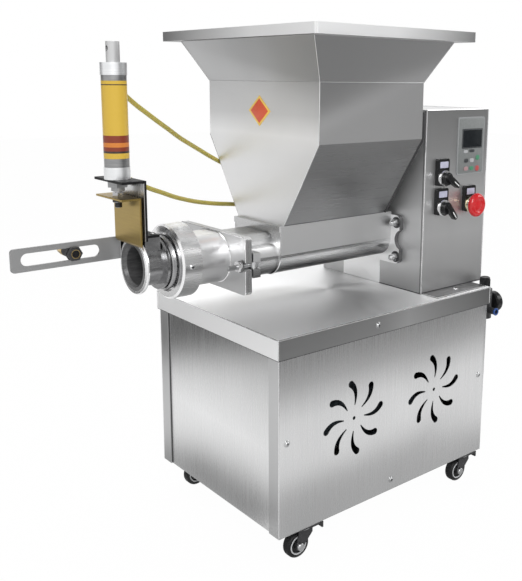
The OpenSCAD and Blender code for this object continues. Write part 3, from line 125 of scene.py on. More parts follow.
def two_colours(tree, value, dark, light):
    """A colour between dark and light, chosen by a grey value."""
    mix = add_node(tree, "Mix")
    mix.data_type = "RGBA"
    set_sockets(mix, A=(*dark, 1), B=(*light, 1))
    tree.links.new(spread(tree, value, 0, 1), mix.inputs["Factor"])
    return mix.outputs["Result"]


def add_bump(tree, shader, value, strength, depth):
    bump = add_node(tree, "Bump")
    set_sockets(bump, Strength=strength, Distance=depth)
    tree.links.new(value, bump.inputs["Height"])
    tree.links.new(bump.outputs["Normal"], shader.inputs["Normal"])


print("node helpers ready")

# %% [markdown]
# ## Stainless sheet
# The cabinet, tower, worktop and hopper are stainless sheet with a fine brushed grain. The grain
# is noise that is long along one axis and very short across it. It varies colour and gloss a
# little, and larger soft patches stand for handling marks. The grain runs upright on panels
# and level on folded and welded parts. Many finishes also carry painted light: lighter and darker
# copies of one sheet for faces that look different ways, and colour scaled in a few broad steps
# along one axis of the machine. Both paint the reflections and the shade that fall on those faces.

# %% Brushed grain
GRAIN_DETAIL, PATCH_DETAIL = 4.0, 2.0
PATCHES = (5, 5, 5)
GRAIN_DEPTH = 0.0002


def paint_light_steps(tree, colour, painted_light_steps, axis="Z"):
    """Paints light: scales a colour by a few steps of painted reflection and shade at given places along an
    axis, in metres.
    """
    place = add_node(tree, "TexCoord")
    parts = add_node(tree, "SeparateXYZ")
    ramp = add_node(tree, "ValToRGB")
    scaled = add_node(tree, "Mix")
    scaled.data_type, scaled.blend_type = "RGBA", "MULTIPLY"
    set_sockets(scaled, Factor=1.0)
    low, high = painted_light_steps[0][0], painted_light_steps[-1][0]
    stops = ramp.color_ramp.elements
    for stop, (_, light_step) in zip((stops[0], stops[1]), (painted_light_steps[0], painted_light_steps[-1])):
        stop.color = (light_step, light_step, light_step, 1)
    for place_m, light_step in painted_light_steps[1:-1]:
        stops.new((place_m - low) / (high - low)).color = (light_step, light_step, light_step, 1)
    tree.links.new(place.outputs["Object"], parts.inputs[0])
    tree.links.new(spread(tree, parts.outputs[axis], 0, 1, low, high), ramp.inputs["Fac"])
    tree.links.new(colour, scaled.inputs["A"])
    tree.links.new(ramp.outputs["Color"], scaled.inputs["B"])
    return scaled.outputs["Result"]


def tint(grey):
    """Steel is a very slightly blue grey."""
    return (grey, grey + 0.002, grey + 0.005)


def brushed_steel(name, grain, dark, light, gloss=(0.24, 0.32), streak=0.25, scratch=0.04,
                  painted_light_steps=None, axis="Z"):
    material, tree, shader = finish_tree(name)
    lines = stretched_noise(tree, grain, GRAIN_DETAIL)
    patches = stretched_noise(tree, PATCHES, PATCH_DETAIL)
    both = add_node(tree, "Mix")
    set_sockets(both, Factor=streak)
    tree.links.new(patches, both.inputs["A"])
    tree.links.new(lines, both.inputs["B"])
    colour = two_colours(tree, both.outputs["Result"], tint(dark), tint(light))
    if painted_light_steps:
        colour = paint_light_steps(tree, colour, painted_light_steps, axis)
    tree.links.new(colour, shader.inputs["Base Color"])
    tree.links.new(spread(tree, lines, *gloss), shader.inputs["Roughness"])
    add_bump(tree, shader, lines, scratch, GRAIN_DEPTH)
    around = add_node(tree, "Tangent")
    around.direction_type, around.axis = "RADIAL", "Z"
    tree.links.new(around.outputs["Tangent"], shader.inputs["Tangent"])
    set_sockets(shader, Metallic=1.0, Anisotropic=0.6)
    return material


print("brushed grain ready")

# %% Sheet finishes
UPRIGHT = (900, 900, 9)
ALONG_X = (9, 900, 900)
SMOOTH = {"streak": 0.15, "scratch": 0.02}
# Painted shade: the front panel darkens just below the worktop's apron. The end panels are a lighter copy,
# which is painted reflection, with painted shade at their top under the apron.
sheet_upright = brushed_steel("sheet_upright", UPRIGHT, 0.68, 0.76, painted_light_steps=(
    (0.06, 1.0), (0.25, 1.0), (0.31, 0.86), (0.36, 0.9)))
sheet_end = brushed_steel("sheet_end", UPRIGHT, 0.79, 0.87, painted_light_steps=(
    (0.06, 0.94), (0.14, 0.94), (0.2, 1.0), (0.30, 0.74), (0.36, 0.6)))
post_steel = brushed_steel("post_steel", UPRIGHT, 0.52, 0.60, (0.3, 0.4))
# Painted light: the tower's front is a lighter copy of its sheet and its left side a darker one, which is
# painted reflection. Both darken near the worktop, and the front also towards the top: painted shade and
# reflection in steps of height.
tower_steel = brushed_steel("tower_steel", UPRIGHT, 0.66, 0.73, (0.28, 0.34))
tower_front = brushed_steel("tower_front", UPRIGHT, 0.84, 0.90, (0.38, 0.43), **SMOOTH, painted_light_steps=(
    (0.394, 0.70), (0.50, 1.0), (0.58, 0.94), (0.66, 0.58), (0.73, 0.44)))
tower_side = brushed_steel("tower_side", UPRIGHT, 0.60, 0.66, (0.42, 0.48), **SMOOTH, painted_light_steps=(
    (0.394, 0.7), (0.45, 1.0), (0.73, 1.0)))
# Painted light on the hopper: darker copies of its level sheet on the flared and tapered faces are painted
# reflection, and the taper darkens upwards. Its ends are a lighter copy, darker towards the top.
sheet_level = brushed_steel("sheet_level", ALONG_X, 0.80, 0.85, (0.25, 0.27), **SMOOTH)
taper_steel = brushed_steel("taper_steel", ALONG_X, 0.33, 0.36, (0.27, 0.29), **SMOOTH, painted_light_steps=(
    (0.545, 1.0), (0.61, 0.76), (0.68, 0.63)))
flare_steel = brushed_steel("flare_steel", ALONG_X, 0.45, 0.51, (0.32, 0.38), **SMOOTH)
hopper_end = brushed_steel("hopper_end", ALONG_X, 0.90, 0.95, (0.38, 0.46), **SMOOTH, painted_light_steps=(
    (0.55, 0.90), (0.66, 0.94), (0.69, 1.0), (0.725, 0.72), (0.778, 0.60)))
# Painted shade: the barrel's sheet is nearly black along its underside. Its flat sides are a lighter copy
# that darkens towards the tower, which is painted reflection.
barrel_steel = brushed_steel("barrel_steel", ALONG_X, 0.54, 0.59, (0.26, 0.30), **SMOOTH, painted_light_steps=(
    (0.44, 0.10), (0.46, 0.14), (0.474, 0.60), (0.484, 1.0), (0.55, 1.0)))
head_plate = brushed_steel("head_plate", UPRIGHT, 0.58, 0.64, (0.42, 0.50), **SMOOTH)
trough_side = brushed_steel("trough_side", ALONG_X, 0.89, 0.94, (0.36, 0.42), **SMOOTH, axis="X", painted_light_steps=(
    (0, 1.0), (0.1, 1.0), (0.23, 0.66)))
# Painted reflection: the worktop's apron and the hopper's rim are lighter copies of the sheet, and the
# apron's front and the rim change in steps along their length.
apron_steel = brushed_steel("apron_steel", ALONG_X, 0.91, 0.95, (0.46, 0.54), **SMOOTH)
arm_steel = brushed_steel("arm_steel", ALONG_X, 0.46, 0.52, (0.46, 0.54), **SMOOTH)
apron_front = brushed_steel("apron_front", ALONG_X, 0.66, 0.72, (0.36, 0.43), **SMOOTH, axis="X", painted_light_steps=(
    (-0.126, 0.50), (0.09, 0.66), (0.16, 0.92), (0.25, 0.68), (0.385, 0.38)))
rim_left = brushed_steel("rim_left", ALONG_X, 0.92, 0.96, (0.46, 0.54), **SMOOTH, axis="Y", painted_light_steps=(
    (-0.217, 1.0), (-0.06, 0.92), (0.10, 0.56), (0.217, 0.24)))
rim_front = brushed_steel("rim_front", ALONG_X, 0.92, 0.96, (0.46, 0.54), **SMOOTH, axis="X", painted_light_steps=(
    (-0.084, 1.0), (0.08, 0.95), (0.18, 0.66), (0.27, 0.3)))
worktop_steel = brushed_steel("worktop_steel", ALONG_X, 0.92, 0.96, (0.48, 0.55), **SMOOTH)
cover_bright = brushed_steel("cover_bright", UPRIGHT, 0.93, 0.96, (0.5, 0.56), **SMOOTH)
# Painted shade: the locking ring's rim darkens towards its bottom.
ring_rim = brushed_steel("ring_rim", ALONG_X, 0.92, 0.96, (0.26, 0.30), 0.2, 0.03, painted_light_steps=(
    (0.436, 0.36), (0.47, 0.5), (0.505, 0.95), (0.556, 1.0)))
print("sheet finishes ready")

# %% [markdown]
# ## Cast, turned and coated metal
# The outlet parts are castings that were polished by hand, so they have soft marks and no grain.
# Shafts, rods and bolts are turned and show fine rings. The caster forks are coated dark, and the
# knife and the sensor are gold-coloured. The cutter's steel bracket is a matt near black, which is
# painted reflection of dark surroundings, and its inner face is light steel. One function makes
# them all, because only the colours, the gloss and the way that the marks are stretched differ.

# %% Metals
MARK_DETAIL = 4.0
MARK_DEPTH = 0.0004


def plain_metal(name, dark, light, gloss, scale=(60, 60, 60), bump=0.05, metallic=1.0, painted_light_steps=None):
    material, tree, shader = finish_tree(name)
    marks = stretched_noise(tree, scale, MARK_DETAIL)
    colour = two_colours(tree, marks, dark, light)
    if painted_light_steps:
        colour = paint_light_steps(tree, colour, painted_light_steps)
    tree.links.new(colour, shader.inputs["Base Color"])
    tree.links.new(spread(tree, marks, *gloss), shader.inputs["Roughness"])
    add_bump(tree, shader, marks, bump, MARK_DEPTH)
    set_sockets(shader, Metallic=metallic)
    return material


def cast(grey):
    """The grey of a polished casting or weld."""
    return (grey, grey, grey + 0.005)


polished = plain_metal("polished_casting", cast(0.86), cast(0.92), (0.22, 0.30), (20, 20, 20), 0.03)
# Painted shade: the head's body darkens towards its bottom.
head_body = plain_metal("head_body", cast(0.92), cast(0.95), (0.28, 0.34), (12, 12, 12), 0.02, painted_light_steps=(
    (0.44, 0.52), (0.488, 0.64), (0.497, 1.0), (0.56, 1.0)))
satin_casting = plain_metal("satin_casting", cast(0.80), cast(0.86), (0.26, 0.34), (12, 12, 12), 0.02)
nozzle_steel = plain_metal("nozzle_steel", cast(0.27), cast(0.40), (0.2, 0.3), (30, 90, 90))
turned_steel = plain_metal("turned_steel", (0.60, 0.60, 0.61), (0.74, 0.74, 0.75), (0.18, 0.3), (700, 60, 60))
upright_rod = plain_metal("upright_rod", (0.40, 0.40, 0.41), (0.54, 0.54, 0.55), (0.14, 0.24), (60, 60, 700))
zinc = plain_metal("zinc_plate", (0.50, 0.505, 0.51), (0.64, 0.645, 0.65), (0.22, 0.36), (240, 240, 240))
dark_coat = plain_metal("dark_coat", (0.018, 0.018, 0.02), (0.04, 0.04, 0.042), (0.3, 0.44),
                        (420, 420, 420), 0.15, 0.0)
# Dull grey for the tube and studs; under the hopper's rim it is painted shadow.
dull_grey_and_shade = plain_metal("dull_grey_and_shade", (0.26, 0.262, 0.265), (0.36, 0.362, 0.365), (0.28, 0.4), (30, 30, 500))
# Dark metal for the tower's foot plate and the bolts' washers; inside the nozzle, in its mouth and on the
# barrel flange's edge it is painted shade.
dark_metal_and_shade = plain_metal("dark_metal_and_shade", (0.07, 0.07, 0.072), (0.14, 0.14, 0.142), (0.3, 0.4),
                        (60, 300, 300), 0.05, 0.3)
brass = plain_metal("gold_metal", (0.34, 0.24, 0.075), (0.41, 0.30, 0.10), (0.3, 0.4), (20, 20, 300))
anodised = plain_metal("anodised", (0.80, 0.81, 0.82), (0.88, 0.89, 0.90), (0.3, 0.42), (30, 30, 600))
motor_paint = plain_metal("motor_paint", (0.16, 0.20, 0.23), (0.21, 0.25, 0.28), (0.4, 0.55),
                          (180, 180, 180), 0.2, 0.0)
print("metals ready")

# %% [markdown]
# ## Plastic and rubber
# Switches, knobs and tyres are moulded. Their noise is fine and even, like the texture of a mould,
# and the colours stay close together. A moulded finish is a plain finish without metal, and
# black parts get a weaker glare, so that they stay black under soft light.


# %% Plastics
def moulded(name, dark, light, gloss, grain=900, bump=0.15, glare=0.5):
    material = plain_metal(name, dark, light, gloss, (grain, grain, grain), bump, 0.0)
    set_sockets(material.node_tree.nodes["Principled BSDF"], Specular_IOR_Level=glare)
    return material


black_plastic = moulded("black_plastic", (0.007, 0.007, 0.008), (0.015, 0.015, 0.016),
                        (0.24, 0.36), 900, 0.1, 0.25)
tyre_rubber = moulded("tyre_rubber", (0.008, 0.008, 0.009), (0.016, 0.016, 0.016),
                      (0.34, 0.5), 900, 0.15, 0.25)
belt_rubber = moulded("belt_rubber", (0.015, 0.015, 0.016), (0.03, 0.03, 0.03), (0.6, 0.75))
red_plastic = moulded("red_plastic", (0.52, 0.012, 0.016), (0.62, 0.02, 0.024), (0.14, 0.22), 500, 0.03)
# Painted reflection: the cutter's steel bracket is a matt near black, for the dark surroundings it mirrors.
bracket_dark_reflection = moulded("bracket_dark_reflection", (0.008, 0.008, 0.009), (0.016, 0.016, 0.017),
                        (0.4, 0.5), 420, 0.1, 0.12)
grey_plastic = moulded("grey_plastic", (0.26, 0.27, 0.275), (0.32, 0.33, 0.335), (0.34, 0.46), 600)
print("plastics ready")

# %% [markdown]
# ## Air hoses
# Two yellow polyurethane hoses run from the cylinder's fittings behind the hopper to the valve on
# the tower. A hose like this is 8 mm thick and keeps a soft bend. Each one is a curve through the
# same points as its solid, with a round section, which is smoother than a mesh of rings.
# Sizes are written in millimetres from the cabinet's middle, as a maker's drawing has them.

# %% Air hoses
SHIFT_MM = 129.5
HOSE_R = 0.004


def route(points_mm):
    return [Vector(((x + SHIFT_MM) / 1000, y / 1000, z / 1000)) for x, y, z in points_mm]


def hose_finish():
    material, tree, shader = finish_tree("yellow_hose")
    clouds = stretched_noise(tree, (12, 12, 12), 1.0)
    colour = two_colours(tree, clouds, (0.40, 0.335, 0.068), (0.48, 0.405, 0.09))
    tree.links.new(colour, shader.inputs["Base Color"])
    tree.links.new(spread(tree, clouds, 0.22, 0.34), shader.inputs["Roughness"])
    set_sockets(shader, Subsurface_Weight=0.15, Subsurface_Scale=0.003, IOR=1.5)
    return material


def run_hose(name, points, node, material):
    data = bpy.data.curves.new(name, "CURVE")
    data.dimensions = "3D"
    data.bevel_depth, data.bevel_resolution, data.resolution_u = HOSE_R, 5, 6
    data.use_fill_caps = True
    line = data.splines.new("BEZIER")
    line.bezier_points.add(len(points) - 1)
    for knot, point in zip(line.bezier_points, points):
        knot.co = point
        knot.handle_left_type = knot.handle_right_type = "AUTO"
    data.materials.append(material)
    hose = bpy.data.objects.new(name, data)
    scene.collection.objects.link(hose)
    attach(hose, "base")
    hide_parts(node)


UPPER_ROUTE = route([
    (-398.97, 36.52, 794), (-393.94, 47.31, 794), (-384, 64, 788), (-378, 72, 776), (-366, 76, 760),
    (-346, 77, 742), (-322, 79, 725), (-298, 85, 710), (-272, 94, 695), (-248, 103, 681),
    (-222, 112, 668), (-196, 120, 655), (-170, 128, 642), (-144, 135, 630), (-116, 140, 617),
    (-88, 142, 604), (-60, 140, 590), (-34, 134, 575), (-10, 124, 561), (10, 112, 549),
    (31, 105, 542), (42.9, 105, 542),
])
LOWER_ROUTE = route([
    (-398.97, 36.52, 642), (-393.94, 47.31, 642), (-382, 64, 637), (-366, 70, 625), (-346, 71, 613),
    (-322, 74, 602), (-298, 79, 593), (-272, 86, 583), (-246, 94, 575), (-220, 102, 568),
    (-192, 110, 562), (-164, 117, 557), (-136, 123, 553), (-108, 127, 549), (-80, 128, 544),
    (-52, 126, 539), (-26, 120, 532), (-4, 112.5, 525), (12, 107.5, 520), (31, 105, 518), (42.9, 105, 518),
])
yellow_hose = hose_finish()
run_hose("upper_hose", UPPER_ROUTE, "upper_air_hose", yellow_hose)
run_hose("lower_hose", LOWER_ROUTE, "lower_air_hose", yellow_hose)

# %% [markdown]
# ## Finishes on the solids
# Most solids already have the right shape, so they only need a finish. A table with the solids of
# each finish keeps this in one place. Some faces of a solid were made in another way, and many get
# a lighter or darker copy of its finish, which is painted light: the reflection or the shade on
# that side. A second table picks them by where they are and which way they look.

# %% Finishes on the solids
FINISHES = {
    sheet_upright: ("front_panel", "rear_panel", "bottom_tray"),
    sheet_end: ("end_panels",),
    post_steel: ("cabinet_frame",),
    tower_steel: ("control_tower", "tower_rear_cover"),
    worktop_steel: ("worktop",),
    sheet_level: ("hopper",),
    arm_steel: ("sensor_arm",),
    barrel_steel: ("feed_barrel",),
    head_body: ("outlet_head",),
    satin_casting: ("drive_screw", "idler_screw"),
    polished: ("locking_ring",),
    nozzle_steel: ("nozzle",),
    turned_steel: ("drive_shaft", "idler_shaft", "driven_pulley", "motor_pulley",
                   "shaft_bearings", "gear_case"),
    upright_rod: ("piston_rod",),
    zinc: ("machine_screws", "swing_bolt_near", "swing_bolt_far", "switch_bases"),
    bracket_dark_reflection: ("cutter_bracket",),
    dark_coat: ("caster_plates", "regulator_body",
                *(f"caster_fork_{i}" for i in (1, 2, 3, 4)), "brake_pedal_1", "brake_pedal_2"),
    brass: ("knife", "sensor"),
    dull_grey_and_shade: ("cylinder_tube", "barrel_studs"),
    anodised: ("cylinder_caps", "solenoid_valve"),
    motor_paint: ("gear_motor", "inverter"),
    black_plastic: ("legend_plates", "selector_upper", "selector_lower", "regulator_knob",
                    "pressure_gauge", "power_gland", "air_fittings"),
    red_plastic: ("stop_button",),
    grey_plastic: ("display_module",),
    belt_rubber: ("drive_belt",),
    tyre_rubber: tuple(f"caster_wheel_{i}" for i in (1, 2, 3, 4)),
}
for material, names in FINISHES.items():
    for node_name in names:
        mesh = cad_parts[node_name].data
        mesh.materials.clear()
        mesh.materials.append(material)
print("finished solids:", sum(len(names) for names in FINISHES.values()))

# %% Finishes on single faces
FLAT, SLANT, LEAN = 0.9, 0.7, 0.3
BRACKET_PLATE_X = -0.29
TAPER_TOP_Z, RIM_UNDER_Z, RIM_Z = 0.7, 0.84, 0.846
TROUGH_Z, FLANGE_X, FLANGE_RIM_X = 0.492, 0.2295, 0.231
HEAD_PLATE_X, HEAD_SIDE_Y = -0.125, 0.09
NOZZLE_LIP_X, NOZZLE_Z = -0.2585, 0.4955
VALVE_COIL_Z = 0.5551
LOWER_CAP_Z, UPPER_CAP_Z = 0.629, 0.8031
NUT_X, WASHER_X, WASHER_END_X = -0.135, -0.1286, -0.126


def outward(n, c, axis_z):
    """How far a face looks away from the line along X at height axis_z: 1 is out, -1 is in."""
    return n.dot(Vector((0, c.y, c.z - axis_z)).normalized())


def finish_faces(node_name, material, chosen):
    """Gives some faces of a solid another finish, chosen by their normal n and centre c."""
    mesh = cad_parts[node_name].data
    mesh.materials.append(material)
    for face in mesh.polygons:
        if chosen(face.normal, face.center):
            face.material_index = len(mesh.materials) - 1


FACE_FINISHES = [
    # Painted light: the bracket's inner face is light steel against its painted dark.
    ("cutter_bracket", sheet_upright, lambda n, c: n.x < -FLAT and c.x > BRACKET_PLATE_X),
    # Painted light: the tower's front and left faces take their lighter and darker copies.
    ("control_tower", tower_front, lambda n, c: n.y < -FLAT),
    ("control_tower", tower_side, lambda n, c: n.x < -FLAT),
    # Painted light: the hopper's faces take lighter and darker copies of one sheet by the way they face.
    ("hopper", hopper_end, lambda n, c: abs(n.x) > FLAT),
    ("hopper", flare_steel, lambda n, c: abs(n.x) > SLANT and n.z < -LEAN),
    ("hopper", taper_steel, lambda n, c: abs(n.y) > SLANT and n.z < -LEAN and c.z < TAPER_TOP_Z),
    ("hopper", rim_front, lambda n, c: abs(n.y) > FLAT and c.z > RIM_Z),
    ("hopper", rim_left, lambda n, c: abs(n.x) > FLAT and c.z > RIM_Z),
    # Painted shadow: the rim's underside is dull dark grey.
    ("hopper", dull_grey_and_shade, lambda n, c: n.z < -FLAT and c.z > RIM_UNDER_Z),
    # Painted reflection: the worktop's apron takes its lighter and stepped copies.
    ("worktop", apron_steel, lambda n, c: n.x < -FLAT),
    ("worktop", apron_front, lambda n, c: n.y < -FLAT),
    # Painted light: the trough's flat sides take their lighter copy.
    ("feed_barrel", trough_side, lambda n, c: abs(n.y) > FLAT and c.z > TROUGH_Z),
    # Painted shadow: the flange's edge faces are dark, like the gap beside the tower.
    ("feed_barrel", dark_metal_and_shade, lambda n, c: c.x > FLANGE_RIM_X and abs(n.x) < 0.1),
    ("feed_barrel", apron_steel, lambda n, c: c.x > FLANGE_X and n.x < -FLAT),
    ("sensor_arm", dull_grey_and_shade, lambda n, c: n.x < -LEAN),
    # Painted light: the head's plate is a darker copy, and its sides take the panel sheet.
    ("outlet_head", head_plate, lambda n, c: c.x > HEAD_PLATE_X and (n.x < -FLAT or n.z > FLAT)),
    ("outlet_head", sheet_upright, lambda n, c: abs(c.y) > HEAD_SIDE_Y and abs(n.y) > FLAT),
    ("nozzle", polished, lambda n, c: c.x < NOZZLE_LIP_X),
    # Painted shade inside the nozzle's bore.
    ("nozzle", dark_metal_and_shade, lambda n, c: outward(n, c, NOZZLE_Z) < -0.5),
    ("locking_ring", ring_rim, lambda n, c: outward(n, c, NOZZLE_Z) > FLAT),
    ("solenoid_valve", black_plastic, lambda n, c: c.z > VALVE_COIL_Z),
    ("cylinder_caps", head_plate, lambda n, c: c.z > UPPER_CAP_Z),
    ("cylinder_caps", dull_grey_and_shade, lambda n, c: c.z < LOWER_CAP_Z),
]
for bolt in ("swing_bolt_near", "swing_bolt_far"):
    FACE_FINISHES += [
        (bolt, polished, lambda n, c: NUT_X < c.x < WASHER_X),
        (bolt, dark_metal_and_shade, lambda n, c: WASHER_X < c.x < WASHER_END_X),
        (bolt, dull_grey_and_shade, lambda n, c: c.x < NUT_X and abs(n.x) < FLAT),
    ]
for row in FACE_FINISHES:
    finish_faces(*row)
print("groups of faces with their own finish:", len(FACE_FINISHES))

# %% [markdown]
# ## A small shape builder
# The fine pieces are turned, cut from plate or drawn as round beads. They could be made from
# Blender's ready shapes, but a turned profile keeps every step and round of the real part. One
# builder holds these three ways of making a form and ends by turning the result into a piece: it
# names the body that the piece rides on, its finishes and the solids it stands for.

# %% Shape builder
X_OUT, Y_OUT, Z_OUT = (1, 0, 0), (0, 1, 0), (0, 0, 1)
X_IN, Y_IN = (-1, 0, 0), (0, -1, 0)
BEAD_SIDES, SHARP_DEG = 8, 35


def at(x, y, z):
    """A place in metres, from millimetres off the cabinet's middle."""
    return Vector((x + SHIFT_MM, y, z)) / 1000


def rounded(width, height, radius, steps=4):
    """Outline of a plate with round corners, about its middle."""
    points = []
    for quarter, (sx, sy) in enumerate(((1, 1), (-1, 1), (-1, -1), (1, -1))):
        for i in range(steps + 1):
            angle = math.pi / 2 * (quarter + i / steps)
            points.append((sx * (width / 2 - radius) + radius * math.cos(angle),
                           sy * (height / 2 - radius) + radius * math.sin(angle)))
    return points


class Shape:
    """Gathers turned, cut and drawn forms, then becomes one piece of the machine."""

    def __init__(self):
        self.mesh = bmesh.new()

    def skin(self, rings, finish, closed=False):
        """Faces between rings of corners; a ring of one corner is a point."""
        steps = max(len(ring) for ring in rings)
        pairs = list(zip(rings, rings[1:])) + ([(rings[-1], rings[0])] if closed else [])
        for low, high in pairs:
            for i in range(steps):
                j = (i + 1) % steps
                corners = [low[i % len(low)], low[j % len(low)], high[j % len(high)], high[i % len(high)]]
                corners = list(dict.fromkeys(corners))
                if len(corners) > 2:
                    self.mesh.faces.new(corners).material_index = finish

    def turned(self, profile, place, along, finish=0, steps=40, closed=False):
        """Revolves points of radius and height about the line along that starts at place."""
        turn = Vector(along).to_track_quat("Z", "Y").to_matrix()
        rings = []
        for radius, height in profile:
            count = steps if radius > 1e-6 else 1
            angles = [2 * math.pi * i / steps for i in range(count)]
            local = [Vector((radius * math.cos(a), radius * math.sin(a), height)) / 1000 for a in angles]
            rings.append([self.mesh.verts.new(place + turn @ point) for point in local])
        self.skin(rings, finish, closed)

    def plate(self, outline, depth, place, across, up, finish=0, edge=0.0):
        """Extrudes an outline towards across x up, with its edges rounded by edge."""
        across, up = Vector(across), Vector(up)
        out = across.cross(up) * depth
        flat = [(across * u + up * v) / 1000 for u, v in outline]
        rings = [[self.mesh.verts.new(place + point + lift / 1000) for point in flat]
                 for lift in (out * 0, out)]
        before = set(self.mesh.faces)
        self.skin(rings, finish)
        for ring in rings:
            self.mesh.faces.new(ring).material_index = finish
        if edge:
            faces = [face for face in self.mesh.faces if face not in before]
            bmesh.ops.recalc_face_normals(self.mesh, faces=faces)
            bmesh.ops.bevel(self.mesh, geom=self.rim_edges(rings[1]), offset=edge / 1000,
                            segments=2, profile=0.6, affect="EDGES")

    def rim_edges(self, ring):
        edges = []
        for a, b in zip(ring, ring[1:] + ring[:1]):
            edges += [edge for edge in a.link_edges if b in edge.verts]
        return edges

    def bead(self, points, radius, finish=0):
        """A round bead or wire through points in metres."""
        angles = [2 * math.pi * i / BEAD_SIDES for i in range(BEAD_SIDES)]
        rings = []
        for i, point in enumerate(points):
            ahead = (points[min(i + 1, len(points) - 1)] - points[max(i - 1, 0)]).normalized()
            guide = Vector((0, 0, 1)) if abs(ahead.z) < 0.9 else Vector((0, 1, 0))
            side = ahead.cross(guide).normalized()
            over = side.cross(ahead)
            spokes = [(side * math.cos(a) + over * math.sin(a)) * radius / 1000 for a in angles]
            rings.append([self.mesh.verts.new(point + spoke) for spoke in spokes])
        self.skin(rings, finish)
        for ring in (rings[0], rings[-1]):
            self.mesh.faces.new(ring).material_index = finish

    def become(self, name, body, finishes, replaced=()):
        """Ends the shape: turned parts shade smooth, and edges over SHARP_DEG stay crisp."""
        bmesh.ops.recalc_face_normals(self.mesh, faces=self.mesh.faces)
        data = bpy.data.meshes.new(name)
        self.mesh.to_mesh(data)
        self.mesh.free()
        for finish in finishes:
            data.materials.append(finish)
        data.shade_smooth()
        data.set_sharp_from_angle(angle=math.radians(SHARP_DEG))
        piece = bpy.data.objects.new(name, data)
        scene.collection.objects.link(piece)
        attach(piece, body)
        if replaced:
            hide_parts(*replaced)
        print(name, "faces:", len(data.polygons))


print("shape builder ready")

# %% [markdown]
# ## Soft edges on the solids
# A fold or a machined edge is never a knife edge: it has a small radius that catches the light
# as a bright line. The solids stay as they are, and modifiers round their edges: one joins
# the corners, one bevels every edge over 30 degrees, and one keeps the flat faces flat to the light.

# %% Soft edges
WELD_GAP, FOLD_DEG = 0.00002, 30


def soften(node_name, width_mm):
    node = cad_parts[node_name]
    weld = node.modifiers.new("join_corners", "WELD")
    weld.merge_threshold = WELD_GAP
    bevel = node.modifiers.new("round_edges", "BEVEL")
    bevel.width = width_mm / 1000
    bevel.segments = 2
    bevel.limit_method = "ANGLE"
    bevel.angle_limit = math.radians(FOLD_DEG)
    bevel.use_clamp_overlap = True
    node.modifiers.new("even_light", "WEIGHTED_NORMAL")


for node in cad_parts.values():
    node.data.shade_smooth()
SOFT_EDGES = {
    "hopper": 1.2, "cutter_bracket": 1.0, "sensor_arm": 0.5, "knife": 0.5, "legend_plates": 0.8,
    "display_module": 0.6, "feed_barrel": 0.8, "outlet_head": 1.2, "locking_ring": 0.8, "nozzle": 0.6,
    "tower_rear_cover": 0.8, "solenoid_valve": 0.8, "cylinder_caps": 0.8, "regulator_body": 0.8,
    "brake_pedal_1": 0.5, "brake_pedal_2": 0.5,
}
for node_name, width_mm in SOFT_EDGES.items():
    soften(node_name, width_mm)
print("softened:", len(SOFT_EDGES))

# %% [markdown]
# ## Seams of the hopper
# The hopper is welded from folded sheets. Along each corner the weld was ground to a smooth bright
# bead, and the folds between its parts show as thin bright lines. A thick dark bead along the gap to
# the tower is painted shadow, and a dark joint runs where the hopper sits on the trough. Each line
# could be cut into the solid, but a thin round bead that lies on it catches the light in the same way.

# %% Hopper seams
HOPPER_X, HALF_X, HALF_Y, FOLD_Z = -36.0, 117, 155, 778
SEAM, FOLD, SHADOW_AND_JOINT = range(3)
SEAM_R, FOLD_R, GAP_SHADOW_R, JOINT_R = 0.6, 0.4, 2.5, 0.5
seam_steel = plain_metal("seam_steel", cast(0.78), cast(0.86), (0.16, 0.26), (90, 90, 90), 0.2)
fold_steel = plain_metal("fold_steel", cast(0.52), cast(0.60), (0.3, 0.4), (90, 90, 90), 0.1)
CORNER = [(HALF_X, 66, 541.4), (HALF_X, HALF_Y, 682), (HALF_X, HALF_Y, FOLD_Z), (155, 187, 846)]
GAP_SHADOW_LINE = CORNER[:2] + [(HALF_X, HALF_Y, 728)]
seams = Shape()
for sy in (-1, 1):
    seams.bead([at(HOPPER_X - x, sy * y, z) for x, y, z in CORNER], SEAM_R, SEAM)
    seams.bead([at(HOPPER_X + x, sy * y, z) for x, y, z in CORNER[2:]], SEAM_R, SEAM)
    # Painted shadow: a dark bead along the hopper's edge by the tower.
    seams.bead([at(HOPPER_X + x + 3.4, sy * (y - 1), z) for x, y, z in GAP_SHADOW_LINE], GAP_SHADOW_R, SHADOW_AND_JOINT)
    seams.bead([at(HOPPER_X + sx * 116, sy * 66.4, 541.3) for sx in (-1, 1)], JOINT_R, SHADOW_AND_JOINT)
for sign in (-1, 1):
    seams.bead([at(HOPPER_X + sx * HALF_X, sign * HALF_Y, FOLD_Z) for sx in (-1, 1)], FOLD_R, FOLD)
    seams.bead([at(HOPPER_X + sign * HALF_X, sy * HALF_Y, FOLD_Z) for sy in (-1, 1)], FOLD_R, FOLD)
seams.become("hopper_seams", "base", [seam_steel, fold_steel, dark_coat])

# %% [markdown]
# ## Folded edges and joints of the sheets
# The folds of the tower, the cabinet and the worktop each show as one thin bright line. A dark
# line under the worktop's apron is painted shadow, and the end panels meet the corner posts in a
# dark joint.
# A bevel would show the thin triangles of these long faces, so the lines are beads here too.

